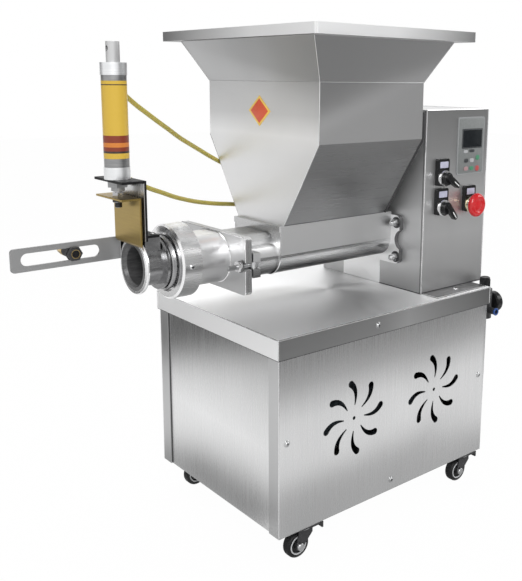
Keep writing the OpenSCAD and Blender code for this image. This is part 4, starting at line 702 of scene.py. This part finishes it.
# %% Sheet edges
EDGE_BRIGHT, EDGE_SHADOW = range(2)
TOWER_FOLD, PANEL_FOLD, TOP_FOLD, APRON_SHADE = 0.9, 0.8, 1.2, 0.5
TOWER_FOOT_Z, TOWER_TOP_Z = 394, 730
left_front, right_front, left_rear, right_rear = (111, -138), (284, -138), (111, 138), (284, 138)
edges = Shape()
for corner in (left_front, right_front, left_rear, right_rear):
    edges.bead([at(*corner, TOWER_FOOT_Z), at(*corner, TOWER_TOP_Z)], TOWER_FOLD)
for a, b in ((left_front, right_front), (left_front, left_rear),
             (right_front, right_rear), (left_rear, right_rear)):
    edges.bead([at(*a, TOWER_TOP_Z), at(*b, TOWER_TOP_Z)], TOWER_FOLD)
PANEL_X, PANEL_Y, PANEL_LOW, PANEL_HIGH = 251.6, 181.0, 60.6, 359.6
for y in (-PANEL_Y, PANEL_Y):
    for x in (-PANEL_X, PANEL_X):
        edges.bead([at(x, y, PANEL_LOW), at(x, y, PANEL_HIGH)], PANEL_FOLD)
    edges.bead([at(-PANEL_X, y, PANEL_LOW), at(PANEL_X, y, PANEL_LOW)], PANEL_FOLD)
TOP = [(sx * 255.2, sy * 184.7) for sx, sy in ((-1, -1), (1, -1), (1, 1), (-1, 1))]
for a, b in zip(TOP, TOP[1:] + TOP[:1]):
    edges.bead([at(*a, 393.3), at(*b, 393.3)], TOP_FOLD, EDGE_BRIGHT)
    edges.bead([at(*a, 362), at(*a, 393.1)], TOWER_FOLD, EDGE_BRIGHT)
    # Painted shadow under the apron's lower edge.
    edges.bead([at(*a, 360.4), at(*b, 360.4)], APRON_SHADE, EDGE_SHADOW)
edges.become("sheet_edges", "base", [seam_steel, dark_coat])

# %% Post joints
joints = Shape()
for x in (-249.2, 249.2):
    for y in (-155.4, 155.4):
        joints.bead([at(x, y, 61), at(x, y, 359)], 1.5)
joints.become("post_joints", "base", [dark_coat])

# %% [markdown]
# ## Welds and edges of the barrel and its head
# The head's round body is welded to a thick plate, and the neck to the trough's front wall. A bright
# bead follows each weld. The plate's edge is left open where the swing bolts pass. Both lines are
# arcs and straight runs, so a short function for an arc gives all their points.


# %% Barrel welds
def arc(middle_y, middle_z, radius, start_deg, end_deg, steps=16):
    """Places of y and z on a part of a circle."""
    angles = [math.radians(start_deg + (end_deg - start_deg) * i / steps) for i in range(steps + 1)]
    return [(middle_y + radius * math.cos(a), middle_z + radius * math.sin(a)) for a in angles]


HEAD_X, TROUGH_X, AXIS_Z = -253.0, -160.0, 491.0
welds = Shape()
body_ring = arc(15, AXIS_Z + 3, 41, -90, 90) + arc(-15, AXIS_Z + 3, 41, 90, 270)
welds.bead([at(HEAD_X - 0.4, y, z) for y, z in body_ring + body_ring[:1]], 1.5)
for side in (-1, 1):
    edge = [(97, side * 7), (97, side * 42), (95.5, side * 45), (92, side * 46.5)]
    edge += [(-y, z) for y, z in reversed(edge)]
    welds.bead([at(HEAD_X, y, AXIS_Z + z) for y, z in edge], 0.7)
trough_ring = [(66, 540)] + arc(29, AXIS_Z, 37, 0, -90) + arc(-29, AXIS_Z, 37, -90, -180) + [(-66, 540)]
welds.bead([at(TROUGH_X, y, z) for y, z in trough_ring], 1.0)
welds.become("barrel_welds", "base", [seam_steel])

# %% [markdown]
# ## Foot of the tower and nuts of the barrel
# The tower stands behind a flat dark foot plate with one screw, and a plain bright cover closes the
# gap under the barrel. Thin dark joints run along the tower's lower edges and up its front corner.
# Four domed nuts hold the barrel's rear flange, each on a dark ring that is painted shadow. They are turned,
# as real ones are.

# %% Tower foot
COVER, JOINT, SCREW, PLATE = range(4)
FOOT_SCREW = (187.6, -155.9)
foot = Shape()
foot.plate(rounded(140, 38, 1.5), 1.5, at(183.5, -157.3, 393.6), X_OUT, Y_OUT, PLATE, 0.5)
foot.plate(rounded(103, 48, 1.0), 1.2, at(110.9, 22.9, 418.2), Y_IN, Z_OUT, COVER, 0.3)
foot.bead([at(112, -138.4, 395.6), at(283, -138.4, 395.6)], 0.8, JOINT)
foot.bead([at(110.6, -137, 394.2), at(110.6, -29, 394.2)], 0.8, JOINT)
foot.bead([at(110.8, -134, 395), at(110.8, -134, 728)], 0.5, JOINT)
foot.turned([(4.3, 0), (4.3, 0.7), (3.6, 1.7), (2, 2.3), (0, 2.4)], at(*FOOT_SCREW, 395.1), Z_OUT, SCREW, 32)
foot.become("tower_foot", "base", [cover_bright, dark_coat, polished, dark_metal_and_shade])

# %% Flange nuts
# Painted shadow: a dark ring round each nut, on the flange.
SHADOW_RING = [(4.4, 0), (10.6, 0), (10.6, 1.0), (10, 1.5), (4.4, 1.5)]
DOMED_NUT = [(5.6, 0), (5.6, 4), (5.0, 7.5), (3.3, 9.6), (0, 10.4)]
nuts = Shape()
for y in (-80, 80):
    for z in (456.5, 521.5):
        nuts.turned(SHADOW_RING, at(101, y, z), X_IN, 1, 40, True)
        nuts.turned(DOMED_NUT, at(94.2, y, z), X_IN, 0, 32)
nuts.become("flange_nuts", "base", [zinc, dark_coat])

# %% [markdown]
# ## Plain diamond plate on the hopper
# A small enamelled diamond with a light border sits on the hopper's end face. The border could be a
# second colour on one plate, but two thin plates, one on the other, give its edge a real step.

# %% Diamond plate
ENAMEL = {"gloss": (0.25, 0.34), "grain": 1500, "bump": 0.02}
enamel_red = moulded("enamel_red", (0.70, 0.10, 0.04), (0.76, 0.12, 0.05), **ENAMEL)
enamel_yellow = moulded("enamel_yellow", (0.62, 0.40, 0.045), (0.66, 0.44, 0.055), **ENAMEL)
enamel_cream = moulded("enamel_cream", (0.90, 0.62, 0.12), (0.95, 0.68, 0.15), **ENAMEL)
DIAMOND = [(0, -25.7), (31, 0), (0, 25.7), (-31, 0)]
INNER = 0.8
FIELD, BORDER = range(2)
diamond = Shape()
diamond.plate(DIAMOND, 0.5, at(-153, 1.5, 728.9), Y_IN, Z_OUT, BORDER, 0.15)
inner_diamond = [(INNER * u, INNER * v) for u, v in DIAMOND]
diamond.plate(inner_diamond, 0.35, at(-153.5, 1.5, 728.9), Y_IN, Z_OUT, FIELD, 0.12)
diamond.become("diamond_plate", "base", [enamel_red, enamel_cream])

# %% [markdown]
# ## Sleeve round the air cylinder
# A coloured film is wrapped round the cylinder's tube, in plain bands from the bottom up. It is
# turned as one thin shell with one finish for each band, so the bands stay sharp at their edges.

# %% Cylinder sleeve
FILM_GLOSS = (0.3, 0.4)
film_dark = moulded("film_dark", (0.03, 0.02, 0.015), (0.05, 0.035, 0.03), FILM_GLOSS, 300, 0.03)
film_orange = moulded("film_orange", (0.60, 0.19, 0.03), (0.66, 0.22, 0.035), FILM_GLOSS, 1500, 0.02)
film_brown = moulded("film_brown", (0.20, 0.028, 0.008), (0.24, 0.036, 0.012), FILM_GLOSS, 1500, 0.02)
YELLOW, DARK, ORANGE, BROWN = range(4)
SLEEVE_BANDS = [
    (664, 672, YELLOW), (672, 675, DARK), (675, 681, BROWN), (681, 687.5, ORANGE),
    (687.5, 698, BROWN), (698, 770.5, YELLOW), (770.5, 772, DARK), (772, 777, YELLOW),
]
ROD_X, SLEEVE_R, TUBE_R = -416.0, 18.7, 18.52
sleeve = Shape()
for low, high, band in SLEEVE_BANDS:
    sleeve.turned([(SLEEVE_R, low), (SLEEVE_R, high)], at(ROD_X, 0, 0), Z_OUT, band, 64)
for height in (SLEEVE_BANDS[0][0], SLEEVE_BANDS[-1][1]):
    sleeve.turned([(TUBE_R, height), (SLEEVE_R, height)], at(ROD_X, 0, 0), Z_OUT, YELLOW, 64)
sleeve.become("cylinder_sleeve", "base", [enamel_yellow, film_dark, film_orange, film_brown])

# %% [markdown]
# ## Lower nut of the piston rod and painted shade in the nozzle's mouth
# The rod ends in a blackened nut below the knife, with a short thread under it. Inside the lip of
# the nozzle beside it, a dark ring is painted shade in the opening. A nut turned in six steps has six
# flats and keeps its chamfers, and a thread is a profile that goes in and out.

# %% Rod nut
NUT_PROFILE = [(5.4, 0), (8.4, 0), (9.3, 0.9), (9.3, 5.2), (8.4, 6.1), (5.4, 6.1)]
rod_thread = [(5.5 if i % 2 else 5.05, 0.3 + 0.75 * i) for i in range(10)]
rod_nut = Shape()
rod_nut.turned(NUT_PROFILE, at(ROD_X, 0, 597.8), Z_OUT, 0, 6, True)
rod_nut.turned([(0, -0.3), (4.4, -0.3)] + rod_thread + [(5.05, 7.9)], at(ROD_X, 0, 590), Z_OUT, 0, 24)
rod_nut.become("rod_nut", "cutter", [dark_coat])

# %% Painted shade in the nozzle mouth
MOUTH_SHADE = [(32.9, 0.2), (34, 0.5), (36, 0.35), (37, 0.5), (38.2, 0.5), (38.8, 0.05)]
mouth_shade = Shape()
mouth_shade.turned(MOUTH_SHADE, at(-396, 0, 495.5), X_IN, 0, 72)
mouth_shade.become("nozzle_mouth_shade", "base", [dark_metal_and_shade])

# %% [markdown]
# ## Length sensor
# The sensor is a threaded tube with a black face, two thin nuts that clamp it to the slotted arm,
# and a tapered gold tail. The thread is turned as real ridges, because they catch the light.

# %% Length sensor
tail_gold = plain_metal("tail_gold", (0.56, 0.40, 0.16), (0.70, 0.52, 0.24), (0.22, 0.34), (40, 700, 40))
SENSOR_PLACE = at(-468, 42.6, 517)
FACE, GOLD, THREAD = range(3)
RIDGES, THREAD_START, THREAD_LENGTH = 44, 0.8, 34.9
ridges = [(8.9 if i % 2 else 8.4, THREAD_START + THREAD_LENGTH * i / RIDGES) for i in range(RIDGES + 1)]
TAIL = [(8.4, 35.7), (8.9, 36.4), (8.8, 44), (7.4, 55.6), (6.2, 57.8), (0, 57.8)]
CLAMP_NUT = [(8.5, 0), (11.2, 0), (12, 0.8), (12, 5.2), (11.2, 6), (8.5, 6)]
sensor = Shape()
sensor.turned([(0, 0.4), (6.0, 0.4)], SENSOR_PLACE, Y_OUT, FACE)
sensor.turned([(6.0, 0.4), (6.0, 0), (7.0, 0)], SENSOR_PLACE, Y_OUT, GOLD)
sensor.turned([(7.0, 0), (8.2, 0), (8.9, 0.8)], SENSOR_PLACE, Y_OUT, THREAD)
sensor.turned(ridges, SENSOR_PLACE, Y_OUT, THREAD)
sensor.turned(TAIL, SENSOR_PLACE, Y_OUT, GOLD)
for start in (1.0, 10.8):
    sensor.turned([(r, start + h) for r, h in CLAMP_NUT], SENSOR_PLACE, Y_OUT, THREAD, 6)
sensor.become("length_sensor", "sensor", [black_plastic, tail_gold, dark_coat], ("sensor",))

# %% [markdown]
# ## Controls
# Each switch has a black legend holder with a blank pale card, a bright bezel, and its own actuator.
# The selectors are short tapered levers on a round cap with a white pointer line. The stop button
# is a turned red mushroom with a shallow ring in its face. Each actuator is a piece of its own,
# because it moves.

# %% Cards and bezels
card_lilac = moulded("card_lilac", (0.44, 0.44, 0.56), (0.52, 0.52, 0.64), (0.35, 0.45), 150, 0.02)
chrome = plain_metal("chrome", (0.80, 0.80, 0.81), (0.88, 0.88, 0.89), (0.08, 0.16), (120, 120, 120), 0.02)
gilt = plain_metal("gilt", (0.74, 0.64, 0.42), (0.82, 0.73, 0.52), (0.14, 0.24), (120, 120, 120), 0.02)
mark_white = moulded("mark_white", (0.74, 0.74, 0.74), (0.84, 0.84, 0.84), (0.3, 0.4), 200, 0.03)
SELECTOR_X, STOP_X = 153.0, 231.5
SWITCH_Z = {"upper": 607.0, "lower": 553.0, "stop": 552.5}
CARD_LIFT = 24.6
BEZEL = [(11.9, 0), (14.8, 0), (14.8, 4.6), (14.0, 6.2), (12.4, 6.2), (11.9, 5.6)]

cards = Shape()
bezels = Shape()
for label, z in SWITCH_Z.items():
    x = STOP_X if label == "stop" else SELECTOR_X
    cards.plate(rounded(22, 11.5, 1.2), 0.6, at(x, -146, z + CARD_LIFT), X_OUT, Z_OUT, 0, 0.2)
    bezels.turned(BEZEL, at(x, -146, z), Y_IN, 1 if label == "stop" else 0, 56, True)
cards.become("legend_cards", "base", [card_lilac])
bezels.become("switch_bezels", "base", [chrome, gilt])

# %% Selector levers
LEVER_CAP = [(5, -9.6), (5, 0.5), (11.4, 0.5), (11.4, 6.6), (10.2, 8), (0, 8)]
LEVER = [(-10, -3.6), (-8, -5.2), (12, -5.4), (23, -4.6), (25.6, -3), (26.2, 0),
         (25.6, 3), (23, 4.6), (12, 5.4), (-8, 5.2), (-10, 3.6)]
POINTER = [(8, -0.9), (23.5, -0.9), (23.5, 0.9), (8, 0.9)]
LEVER_LIFT, POINTER_LIFT = 0.0064, 0.0149


def selector_lever(label, turn_deg):
    """A round cap with a tapered lever that points turn_deg from level."""
    place = at(SELECTOR_X, -152, SWITCH_Z[label])
    turn = math.radians(turn_deg)
    across = (math.cos(turn), 0, math.sin(turn))
    up = (-math.sin(turn), 0, math.cos(turn))
    lever = Shape()
    lever.turned(LEVER_CAP, place, Y_IN, 0, 48)
    lever.plate(LEVER, 8.6, place + Vector(Y_IN) * LEVER_LIFT, across, up, 0, 1.1)
    lever.plate(POINTER, 0.25, place + Vector(Y_IN) * POINTER_LIFT, across, up, 1)
    lever.become(f"selector_lever_{label}", f"selector_{label}",
                 [black_plastic, mark_white], (f"selector_{label}",))


selector_lever("upper", -35)
selector_lever("lower", -50)

# %% Stop button
MUSHROOM = [
    (0, -8.6), (8, -8.6), (8, 5), (18.6, 5), (21, 6), (22.2, 7.8), (22.5, 9.6), (22, 12), (20.4, 14.2),
    (18.4, 15.8), (16.6, 16.6), (14.8, 16.9), (13.2, 16.4), (11.8, 15), (10.8, 14.5), (9.8, 14.8),
    (7.4, 15.7), (3.6, 16.3), (0, 16.5),
]
mushroom = Shape()
mushroom.turned(MUSHROOM, at(STOP_X, -152, SWITCH_Z["stop"]), Y_IN, 0, 64)
mushroom.become("stop_mushroom", "stop_button", [red_plastic], ("stop_button",))

# %% [markdown]
# ## Display panel
# The panel on the tower is a membrane keypad: a plate with a dark window above and eight flat keys
# of different colours below. Thin rounded plates show the small steps that a membrane has, which
# a drawn pattern would not.

# %% Display panel
KEY = {"gloss": (0.3, 0.4), "grain": 300, "bump": 0.04}
keypad_finishes = [
    moulded("plate_grey", (0.17, 0.18, 0.178), (0.21, 0.22, 0.218), (0.32, 0.42), 300, 0.04),
    moulded("screen_dark", (0.008, 0.010, 0.012), (0.014, 0.017, 0.019), (0.14, 0.2), 60, 0.01, 0.2),
    moulded("key_green", (0.05, 0.22, 0.12), (0.07, 0.27, 0.15), **KEY),
    moulded("key_dark", (0.03, 0.033, 0.036), (0.05, 0.054, 0.058), **KEY),
    moulded("key_pale", (0.36, 0.37, 0.38), (0.44, 0.45, 0.46), **KEY),
    moulded("key_red", (0.42, 0.06, 0.06), (0.48, 0.08, 0.08), **KEY),
    moulded("key_rose", (0.36, 0.22, 0.23), (0.42, 0.27, 0.28), **KEY),
]
BACK, WINDOW, GREEN, BLACK, PALE, RED, ROSE = range(7)
FACE_Y = -140.0
keypad = Shape()
keypad.plate(rounded(71, 102, 3.5), 0.5, at(234, FACE_Y, 662.5), X_OUT, Z_OUT, BACK, 0.2)
keypad.plate(rounded(59, 37, 2.0), 0.5, at(236, FACE_Y - 0.5, 676), X_OUT, Z_OUT, BLACK, 0.2)
keypad.plate(rounded(54, 32, 1.2), 0.3, at(236, FACE_Y - 1.0, 676), X_OUT, Z_OUT, WINDOW, 0.1)
KEYS = [
    (218, 652, 12, 6, PALE), (236, 653, 15, 6, BLACK), (253.5, 639.5, 11, 10, GREEN),
    (220.5, 635, 12, 8, BLACK), (236.5, 635, 12, 8, PALE), (220.5, 620, 12, 8, ROSE),
    (236.5, 620, 12, 8, GREEN), (253.5, 619, 11, 11, RED),
]
for x, z, width, height, finish in KEYS:
    outline = rounded(width, height, min(width, height) * 0.42)
    keypad.plate(outline, 0.9, at(x, FACE_Y - 0.5, z), X_OUT, Z_OUT, finish, 0.35)
keypad.become("keypad", "base", keypad_finishes)

# %% [markdown]
# ## Casters
# A caster wheel is a black tyre on a pale ring with a dark hub. The tyre has rounded shoulders and three
# shallow grooves, and the hub has a dished web. The axle ends in a domed nut outside each fork leg.
# All of it is round, so half of each profile is written down and the other half is its mirror.


# %% Casters
def mirrored(half):
    """The other half of a profile that is the same on both sides."""
    return [(r, -h) for r, h in reversed(half)]


hub_white = moulded("hub_white", (0.52, 0.53, 0.54), (0.62, 0.63, 0.64), (0.3, 0.42), 300, 0.05)
WHEEL_R, TRAIL, AXLE_END = 22.5, 11.0, 0.012
TYRE = [(16.6, -7.4), (17.2, -8.2), (19.2, -8.2), (21.0, -7.4), (22.1, -5.9), (WHEEL_R, -4.4)]
GROOVE = [(WHEEL_R, -0.7), (WHEEL_R - 0.6, -0.4), (WHEEL_R - 0.6, 0.4), (WHEEL_R, 0.7)]
GROOVES = [(r, middle + h) for middle in (-2.6, 0, 2.6) for r, h in GROOVE]
RING = [(13.9, -7.0), (14.5, -8.2), (16.0, -8.2), (16.7, -7.2)]
HUB = [(3.2, -7.6), (5.4, -8.2), (6.6, -7.8), (7.6, -5.6), (12.6, -5.2), (13.8, -6.8)]
CASTERS = {1: (-188, -158), 2: (218, -158), 3: (-188, 158), 4: (218, 158)}
AXLE_NUT = [(6.4, 0), (6.4, 2.7), (5.8, 3.8), (4.2, 4.6), (2, 5), (0, 5.1)]
SWIVEL_CAP = [(15.2, 0), (16.6, 0.8), (16.6, 3.6), (15.2, 4.4)]
for number, (x, y) in CASTERS.items():
    axle = at(x - TRAIL, y, WHEEL_R)
    wheel_node = f"caster_wheel_{number}"
    wheel = Shape()
    wheel.turned(TYRE + GROOVES + mirrored(TYRE), axle, Y_OUT, 0, 56, True)
    wheel.turned(RING + mirrored(RING), axle, Y_OUT, 1, 56, True)
    wheel.turned(HUB + mirrored(HUB), axle, Y_OUT, 0, 56, True)
    wheel.become(f"wheel_{number}", wheel_node, [tyre_rubber, hub_white], (wheel_node,))
    hardware = Shape()
    for sign in (-1, 1):
        hardware.turned(AXLE_NUT, axle + Vector((0, sign * AXLE_END, 0)), (0, sign, 0), 0, 32)
    hardware.turned(SWIVEL_CAP, at(x, y, 50), Z_OUT, 0, 48, True)
    hardware.become(f"caster_hardware_{number}", f"caster_fork_{number}", [zinc])

# %% [markdown]
# ## Air regulator
# The regulator hangs at the cabinet's right end. Its knob has ribs for wet hands, the gauge looks away
# along +X, and a blue collar marks the push-in inlet. The ribs are a wave in the knob's outline,
# and the dial's marks and needle are thin plates, which stay sharp close up.

# %% Regulator knob
REGULATOR = (272.0, -159.0)
RIBS, RIB_STEPS = 22, 6
KNOB_FOOT = [(6, -9), (6, 0.5), (9.6, 0.5), (9.9, 1.4), (9.9, 2.4)]
KNOB_CAP = [(9.7, 0), (9.7, 2.6), (8.4, 4.2), (6.8, 4.4), (6.4, 3.8), (0, 3.8)]


def ribbed_outline():
    outline = []
    for i in range(RIBS * RIB_STEPS):
        angle = 2 * math.pi * i / (RIBS * RIB_STEPS)
        radius = 10.05 + 0.45 * math.cos(RIBS * angle)
        outline.append((radius * math.cos(angle), radius * math.sin(angle)))
    return outline


knob = Shape()
knob.turned(KNOB_FOOT, at(*REGULATOR, 383), Z_OUT, 0, 48)
knob.plate(ribbed_outline(), 17, at(*REGULATOR, 385), X_OUT, Y_OUT, 0, 0.5)
knob.turned(KNOB_CAP, at(*REGULATOR, 402), Z_OUT, 0, 48)
knob.become("knob_ribbed", "regulator_knob", [black_plastic], ("regulator_knob",))

# %% Gauge dial
dial_white = moulded("dial_white", (0.78, 0.78, 0.77), (0.85, 0.85, 0.84), (0.4, 0.5), 120, 0.02)
DIAL_PLACE = at(303.1, REGULATOR[1], 352)
MARK_LIFT, NEEDLE_LIFT = 0.0003, 0.0006
MARKS, SWEEP_DEG, FIRST_DEG, NEEDLE_DEG = 40, 270, 225, 80
NEEDLE = [(-4, -0.9), (11, -0.35), (13, 0), (11, 0.35), (-4, 0.9)]


def dial_axes(degrees):
    """Directions along and across a mark or the needle, on a face that looks along +X."""
    angle = math.radians(degrees)
    return (0, math.cos(angle), math.sin(angle)), (0, -math.sin(angle), math.cos(angle))


dial = Shape()
dial.turned([(0, 0.3), (18.2, 0.3), (18.2, 0)], DIAL_PLACE, X_OUT, 0, 56)
for mark in range(MARKS + 1):
    inner, half = (13.2, 0.3) if mark % 5 == 0 else (14.8, 0.14)
    dial.plate([(inner, -half), (16.6, -half), (16.6, half), (inner, half)], 0.12,
               DIAL_PLACE + Vector(X_OUT) * MARK_LIFT, *dial_axes(FIRST_DEG - SWEEP_DEG * mark / MARKS), 1)
dial.plate(NEEDLE, 0.3, DIAL_PLACE + Vector(X_OUT) * NEEDLE_LIFT, *dial_axes(NEEDLE_DEG), 1)
dial.turned([(2.2, 0.3), (2.2, 1.0), (1.4, 1.3), (0, 1.3)], DIAL_PLACE, X_OUT, 1, 24)
dial.become("gauge_dial", "base", [dial_white, black_plastic])

# %% Inlet collar
collar_blue = moulded("collar_blue", (0.012, 0.05, 0.20), (0.02, 0.075, 0.28), (0.3, 0.4), 300, 0.05)
COLLAR = [(4.3, 0), (6.9, 0), (7.3, 0.5), (7.3, 2.6), (6.7, 3.2), (4.7, 3.2), (4.3, 2.8)]
inlet = Shape()
inlet.turned(COLLAR, at(REGULATOR[0], -187, 342), Y_IN, 0, 40, True)
inlet.become("inlet_collar", "base", [collar_blue])

# %% [markdown]
# ## Small screws
# The small pan-head screws have a cross recess. Two thin dark bars stand for the shadow in each one,
# which is all that shows at this size. The cabinet's screws sit on washers, and the rear cover
# of the tower is held by six domed screws.

# %% Screw washers
PANEL_SCREWS = [(sx * 236, -183.9, 220, Y_IN) for sx in (-1, 1)]
PANEL_SCREWS += [(sx * 236, 183.9, 220, Y_OUT) for sx in (-1, 1)]
PANEL_SCREWS += [(0, -183.9, 79.5, Y_IN), (0, 183.9, 79.5, Y_OUT), (-44, -187.2, 376.75, Y_IN)]
ARM_SCREWS = [(-379.5, -12, 547.4, Z_OUT), (-366.5, -12, 547.4, Z_OUT)]
ARM_SCREWS += [(-384, 55.4, 517, Y_OUT), (-371, 55.4, 517, Y_OUT), (-327, -62.4, 495.5, Y_IN)]
REAR_SCREWS = [(x, 140.2, z, Y_OUT) for x in (122, 273) for z in (412, 562, 714)]
HEAD_HEIGHT = 0.0024
SCREW_WASHER = [(4.1, 0), (5.6, 0), (5.6, 0.5), (5.2, 0.8), (4.1, 0.8)]
DOMED_HEAD = [(4.3, 0), (4.3, 0.8), (3.6, 1.7), (2, 2.1), (0, 2.2)]
washers = Shape()
for x, y, z, out in PANEL_SCREWS:
    washers.turned(SCREW_WASHER, at(x, y, z) - Vector(out) * HEAD_HEIGHT, out, 0, 40, True)
for x, y, z, out in REAR_SCREWS:
    washers.turned(DOMED_HEAD, at(x, y - DOMED_HEAD[-1][1], z), out, 0, 32)
washers.become("screw_washers", "base", [zinc])

# %% Cross recesses
BAR = [(-2.5, -0.65), (2.5, -0.65), (2.5, 0.65), (-2.5, 0.65)]
crosses = Shape()
for x, y, z, out in PANEL_SCREWS + ARM_SCREWS + REAR_SCREWS + [(*FOOT_SCREW, 397.5, Z_OUT)]:
    across = Vector(X_OUT)
    up = Vector(out).cross(across)
    for first, second in ((across, up), (up, -across)):
        crosses.plate(BAR, 0.12, at(x, y, z), first, second)
crosses.become("screw_recesses", "base", [dark_coat])

# %% [markdown]
# ## Floor and background
# The photograph has a white background and soft light from all round. More light would make the
# floor white, but it would also wash out the machine. So the floor and the world are white
# only to the eye and in reflections, and light the machine at a plain level.


# %% Floor and background
def joined(tree, operation, first, second):
    """A value that is worked out from two others."""
    both = add_node(tree, "Math")
    both.operation = operation
    tree.links.new(first, both.inputs[0])
    tree.links.new(second, both.inputs[1])
    return both.outputs[0]


def eye_share(tree):
    """1 for rays that see the background, straight or in metal and glass, else 0."""
    rays = add_node(tree, "LightPath").outputs
    seen = joined(tree, "MAXIMUM", rays["Is Camera Ray"], rays["Is Glossy Ray"])
    return joined(tree, "MAXIMUM", seen, rays["Is Transmission Ray"])


def mix_surface(tree, share, first, second):
    """Joins two shaders by a share, and makes the result the material's surface."""
    mix = add_node(tree, "MixShader")
    tree.links.new(share, mix.inputs[0])
    tree.links.new(first.outputs[0], mix.inputs[1])
    tree.links.new(second.outputs[0], mix.inputs[2])
    tree.links.new(mix.outputs[0], tree.nodes["Material Output"].inputs["Surface"])


def stage_sheet(name, corners, material):
    """One flat sheet that belongs to the studio."""
    mesh = bpy.data.meshes.new(name)
    mesh.from_pydata(corners, [], [(0, 1, 2, 3)])
    mesh.materials.append(material)
    sheet = bpy.data.objects.new(name, mesh)
    scene.collection.objects.link(sheet)
    return sheet


def white_floor(half=9.0, glow=0.98):
    material, tree, shader = finish_tree("pale_floor")
    set_sockets(shader, Base_Color=(0.86, 0.86, 0.86, 1), Roughness=0.7)
    share = add_node(tree, "Math")
    share.operation = "MULTIPLY"
    share.inputs[1].default_value = glow
    tree.links.new(eye_share(tree), share.inputs[0])
    mix_surface(tree, share.outputs[0], shader, add_node(tree, "Emission"))
    stage_sheet("floor", [(-half, -half, 0), (half, -half, 0), (half, half, 0), (-half, half, 0)], material)


def soft_world(level=0.55):
    world = bpy.data.worlds.new("studio")
    scene.world = world
    world.use_nodes = True
    tree = world.node_tree
    background = tree.nodes["Background"]
    set_sockets(background, Color=(1, 1, 1, 1))
    strength = spread(tree, eye_share(tree), level, 1.0, 0, 1)
    tree.links.new(strength, background.inputs["Strength"])


white_floor()
soft_world()
print("floor and background ready")

# %% [markdown]
# ## Grey cards
# Bright metal in a white room has nothing to mirror and looks flat. A photographer puts dark sheets
# outside the picture, so that the metal shows darker bands. These cards do the same: only
# reflections see them, and their edges fade, so no hard line shows in the steel.


# %% Grey cards
def grey_card(name, corners_mm, grey, soft):
    """A dark sheet that only reflections see, with edges that fade over the share soft."""
    material, tree, shader = finish_tree(name)
    parts = add_node(tree, "SeparateXYZ")
    tree.links.new(add_node(tree, "UVMap").outputs["UV"], parts.inputs[0])
    share = None
    for axis in ("X", "Y"):
        for start, end in ((0, soft), (1, 1 - soft)):
            fade = add_node(tree, "MapRange")
            fade.interpolation_type = "SMOOTHSTEP"
            set_sockets(fade, From_Min=start, From_Max=end)
            tree.links.new(parts.outputs[axis], fade.inputs["Value"])
            faded = fade.outputs["Result"]
            share = joined(tree, "MULTIPLY", share, faded) if share else faded
    dark = add_node(tree, "Emission")
    set_sockets(dark, Color=(grey, grey, grey, 1))
    mix_surface(tree, share, add_node(tree, "BsdfTransparent"), dark)
    tree.nodes.remove(shader)
    card = stage_sheet(name, [at(*corner) for corner in corners_mm], material)
    layer = card.data.uv_layers.new(name="sheet")
    for corner, place in zip(layer.data, ((0, 0), (1, 0), (1, 1), (0, 1))):
        corner.uv = place
    card.visible_camera = card.visible_diffuse = card.visible_transmission = card.visible_shadow = False


def level_card(name, x0, y0, x1, y1, z, grey, soft):
    grey_card(name, [(x0, y0, z), (x1, y0, z), (x1, y1, z), (x0, y1, z)], grey, soft)


level_card("card_front_floor", -700, -2700, 3000, -680, 4, 0.2, 0.1)
level_card("card_front_near", -420, -430, 900, -60, 6, 0.5, 0.2)
level_card("card_right_floor", 430, -390, 1500, 460, 5, 0.07, 0.08)
grey_card("card_right_wall", [(500, -3900, -100), (3700, -700, -100), (3700, -700, 2500), (500, -3900, 2500)],
          0.3, 0.12)
level_card("card_front_roof", -300, -3200, 3600, 900, 2400, 0.15, 0.15)
grey_card("card_left_floor", [(85, 1070, 5), (-1424, 90, 5), (-2023, 1012, 5), (-514, 1992, 5)], 0.12, 0.3)
grey_card("card_left_back", [(-591, 2736, 420), (-2373, 1438, 420), (-2373, 1438, 2200), (-591, 2736, 2200)],
          0.22, 0.2)
grey_card("card_left_foot", [(-240, -300, 6), (-240, 500, 6), (-430, 500, 6), (-430, -300, 6)], 0.3, 0.4)
print("grey cards ready")

# %% [markdown]
# ## Lamps
# Three large soft lamps give the shadows under the machine a direction. They are wide discs,
# because a small lamp would leave hard spots in the steel.


# %% Lamps
def soft_lamp(name, place, target, size, power):
    data = bpy.data.lights.new(name, "AREA")
    data.shape, data.size, data.energy = "DISK", size, power
    lamp = bpy.data.objects.new(name, data)
    lamp.location = place
    lamp.rotation_euler = (Vector(target) - Vector(place)).to_track_quat("-Z", "Y").to_euler()
    scene.collection.objects.link(lamp)


MIDDLE = (0.1, 0.0, 0.45)
soft_lamp("key", (-1.6, -2.4, 2.6), MIDDLE, 1.6, 55)
soft_lamp("side", (2.6, -1.6, 1.8), MIDDLE, 1.4, 22)
soft_lamp("top", (0.2, 0.6, 3.2), MIDDLE, 2.2, 35)
print("lamps ready")
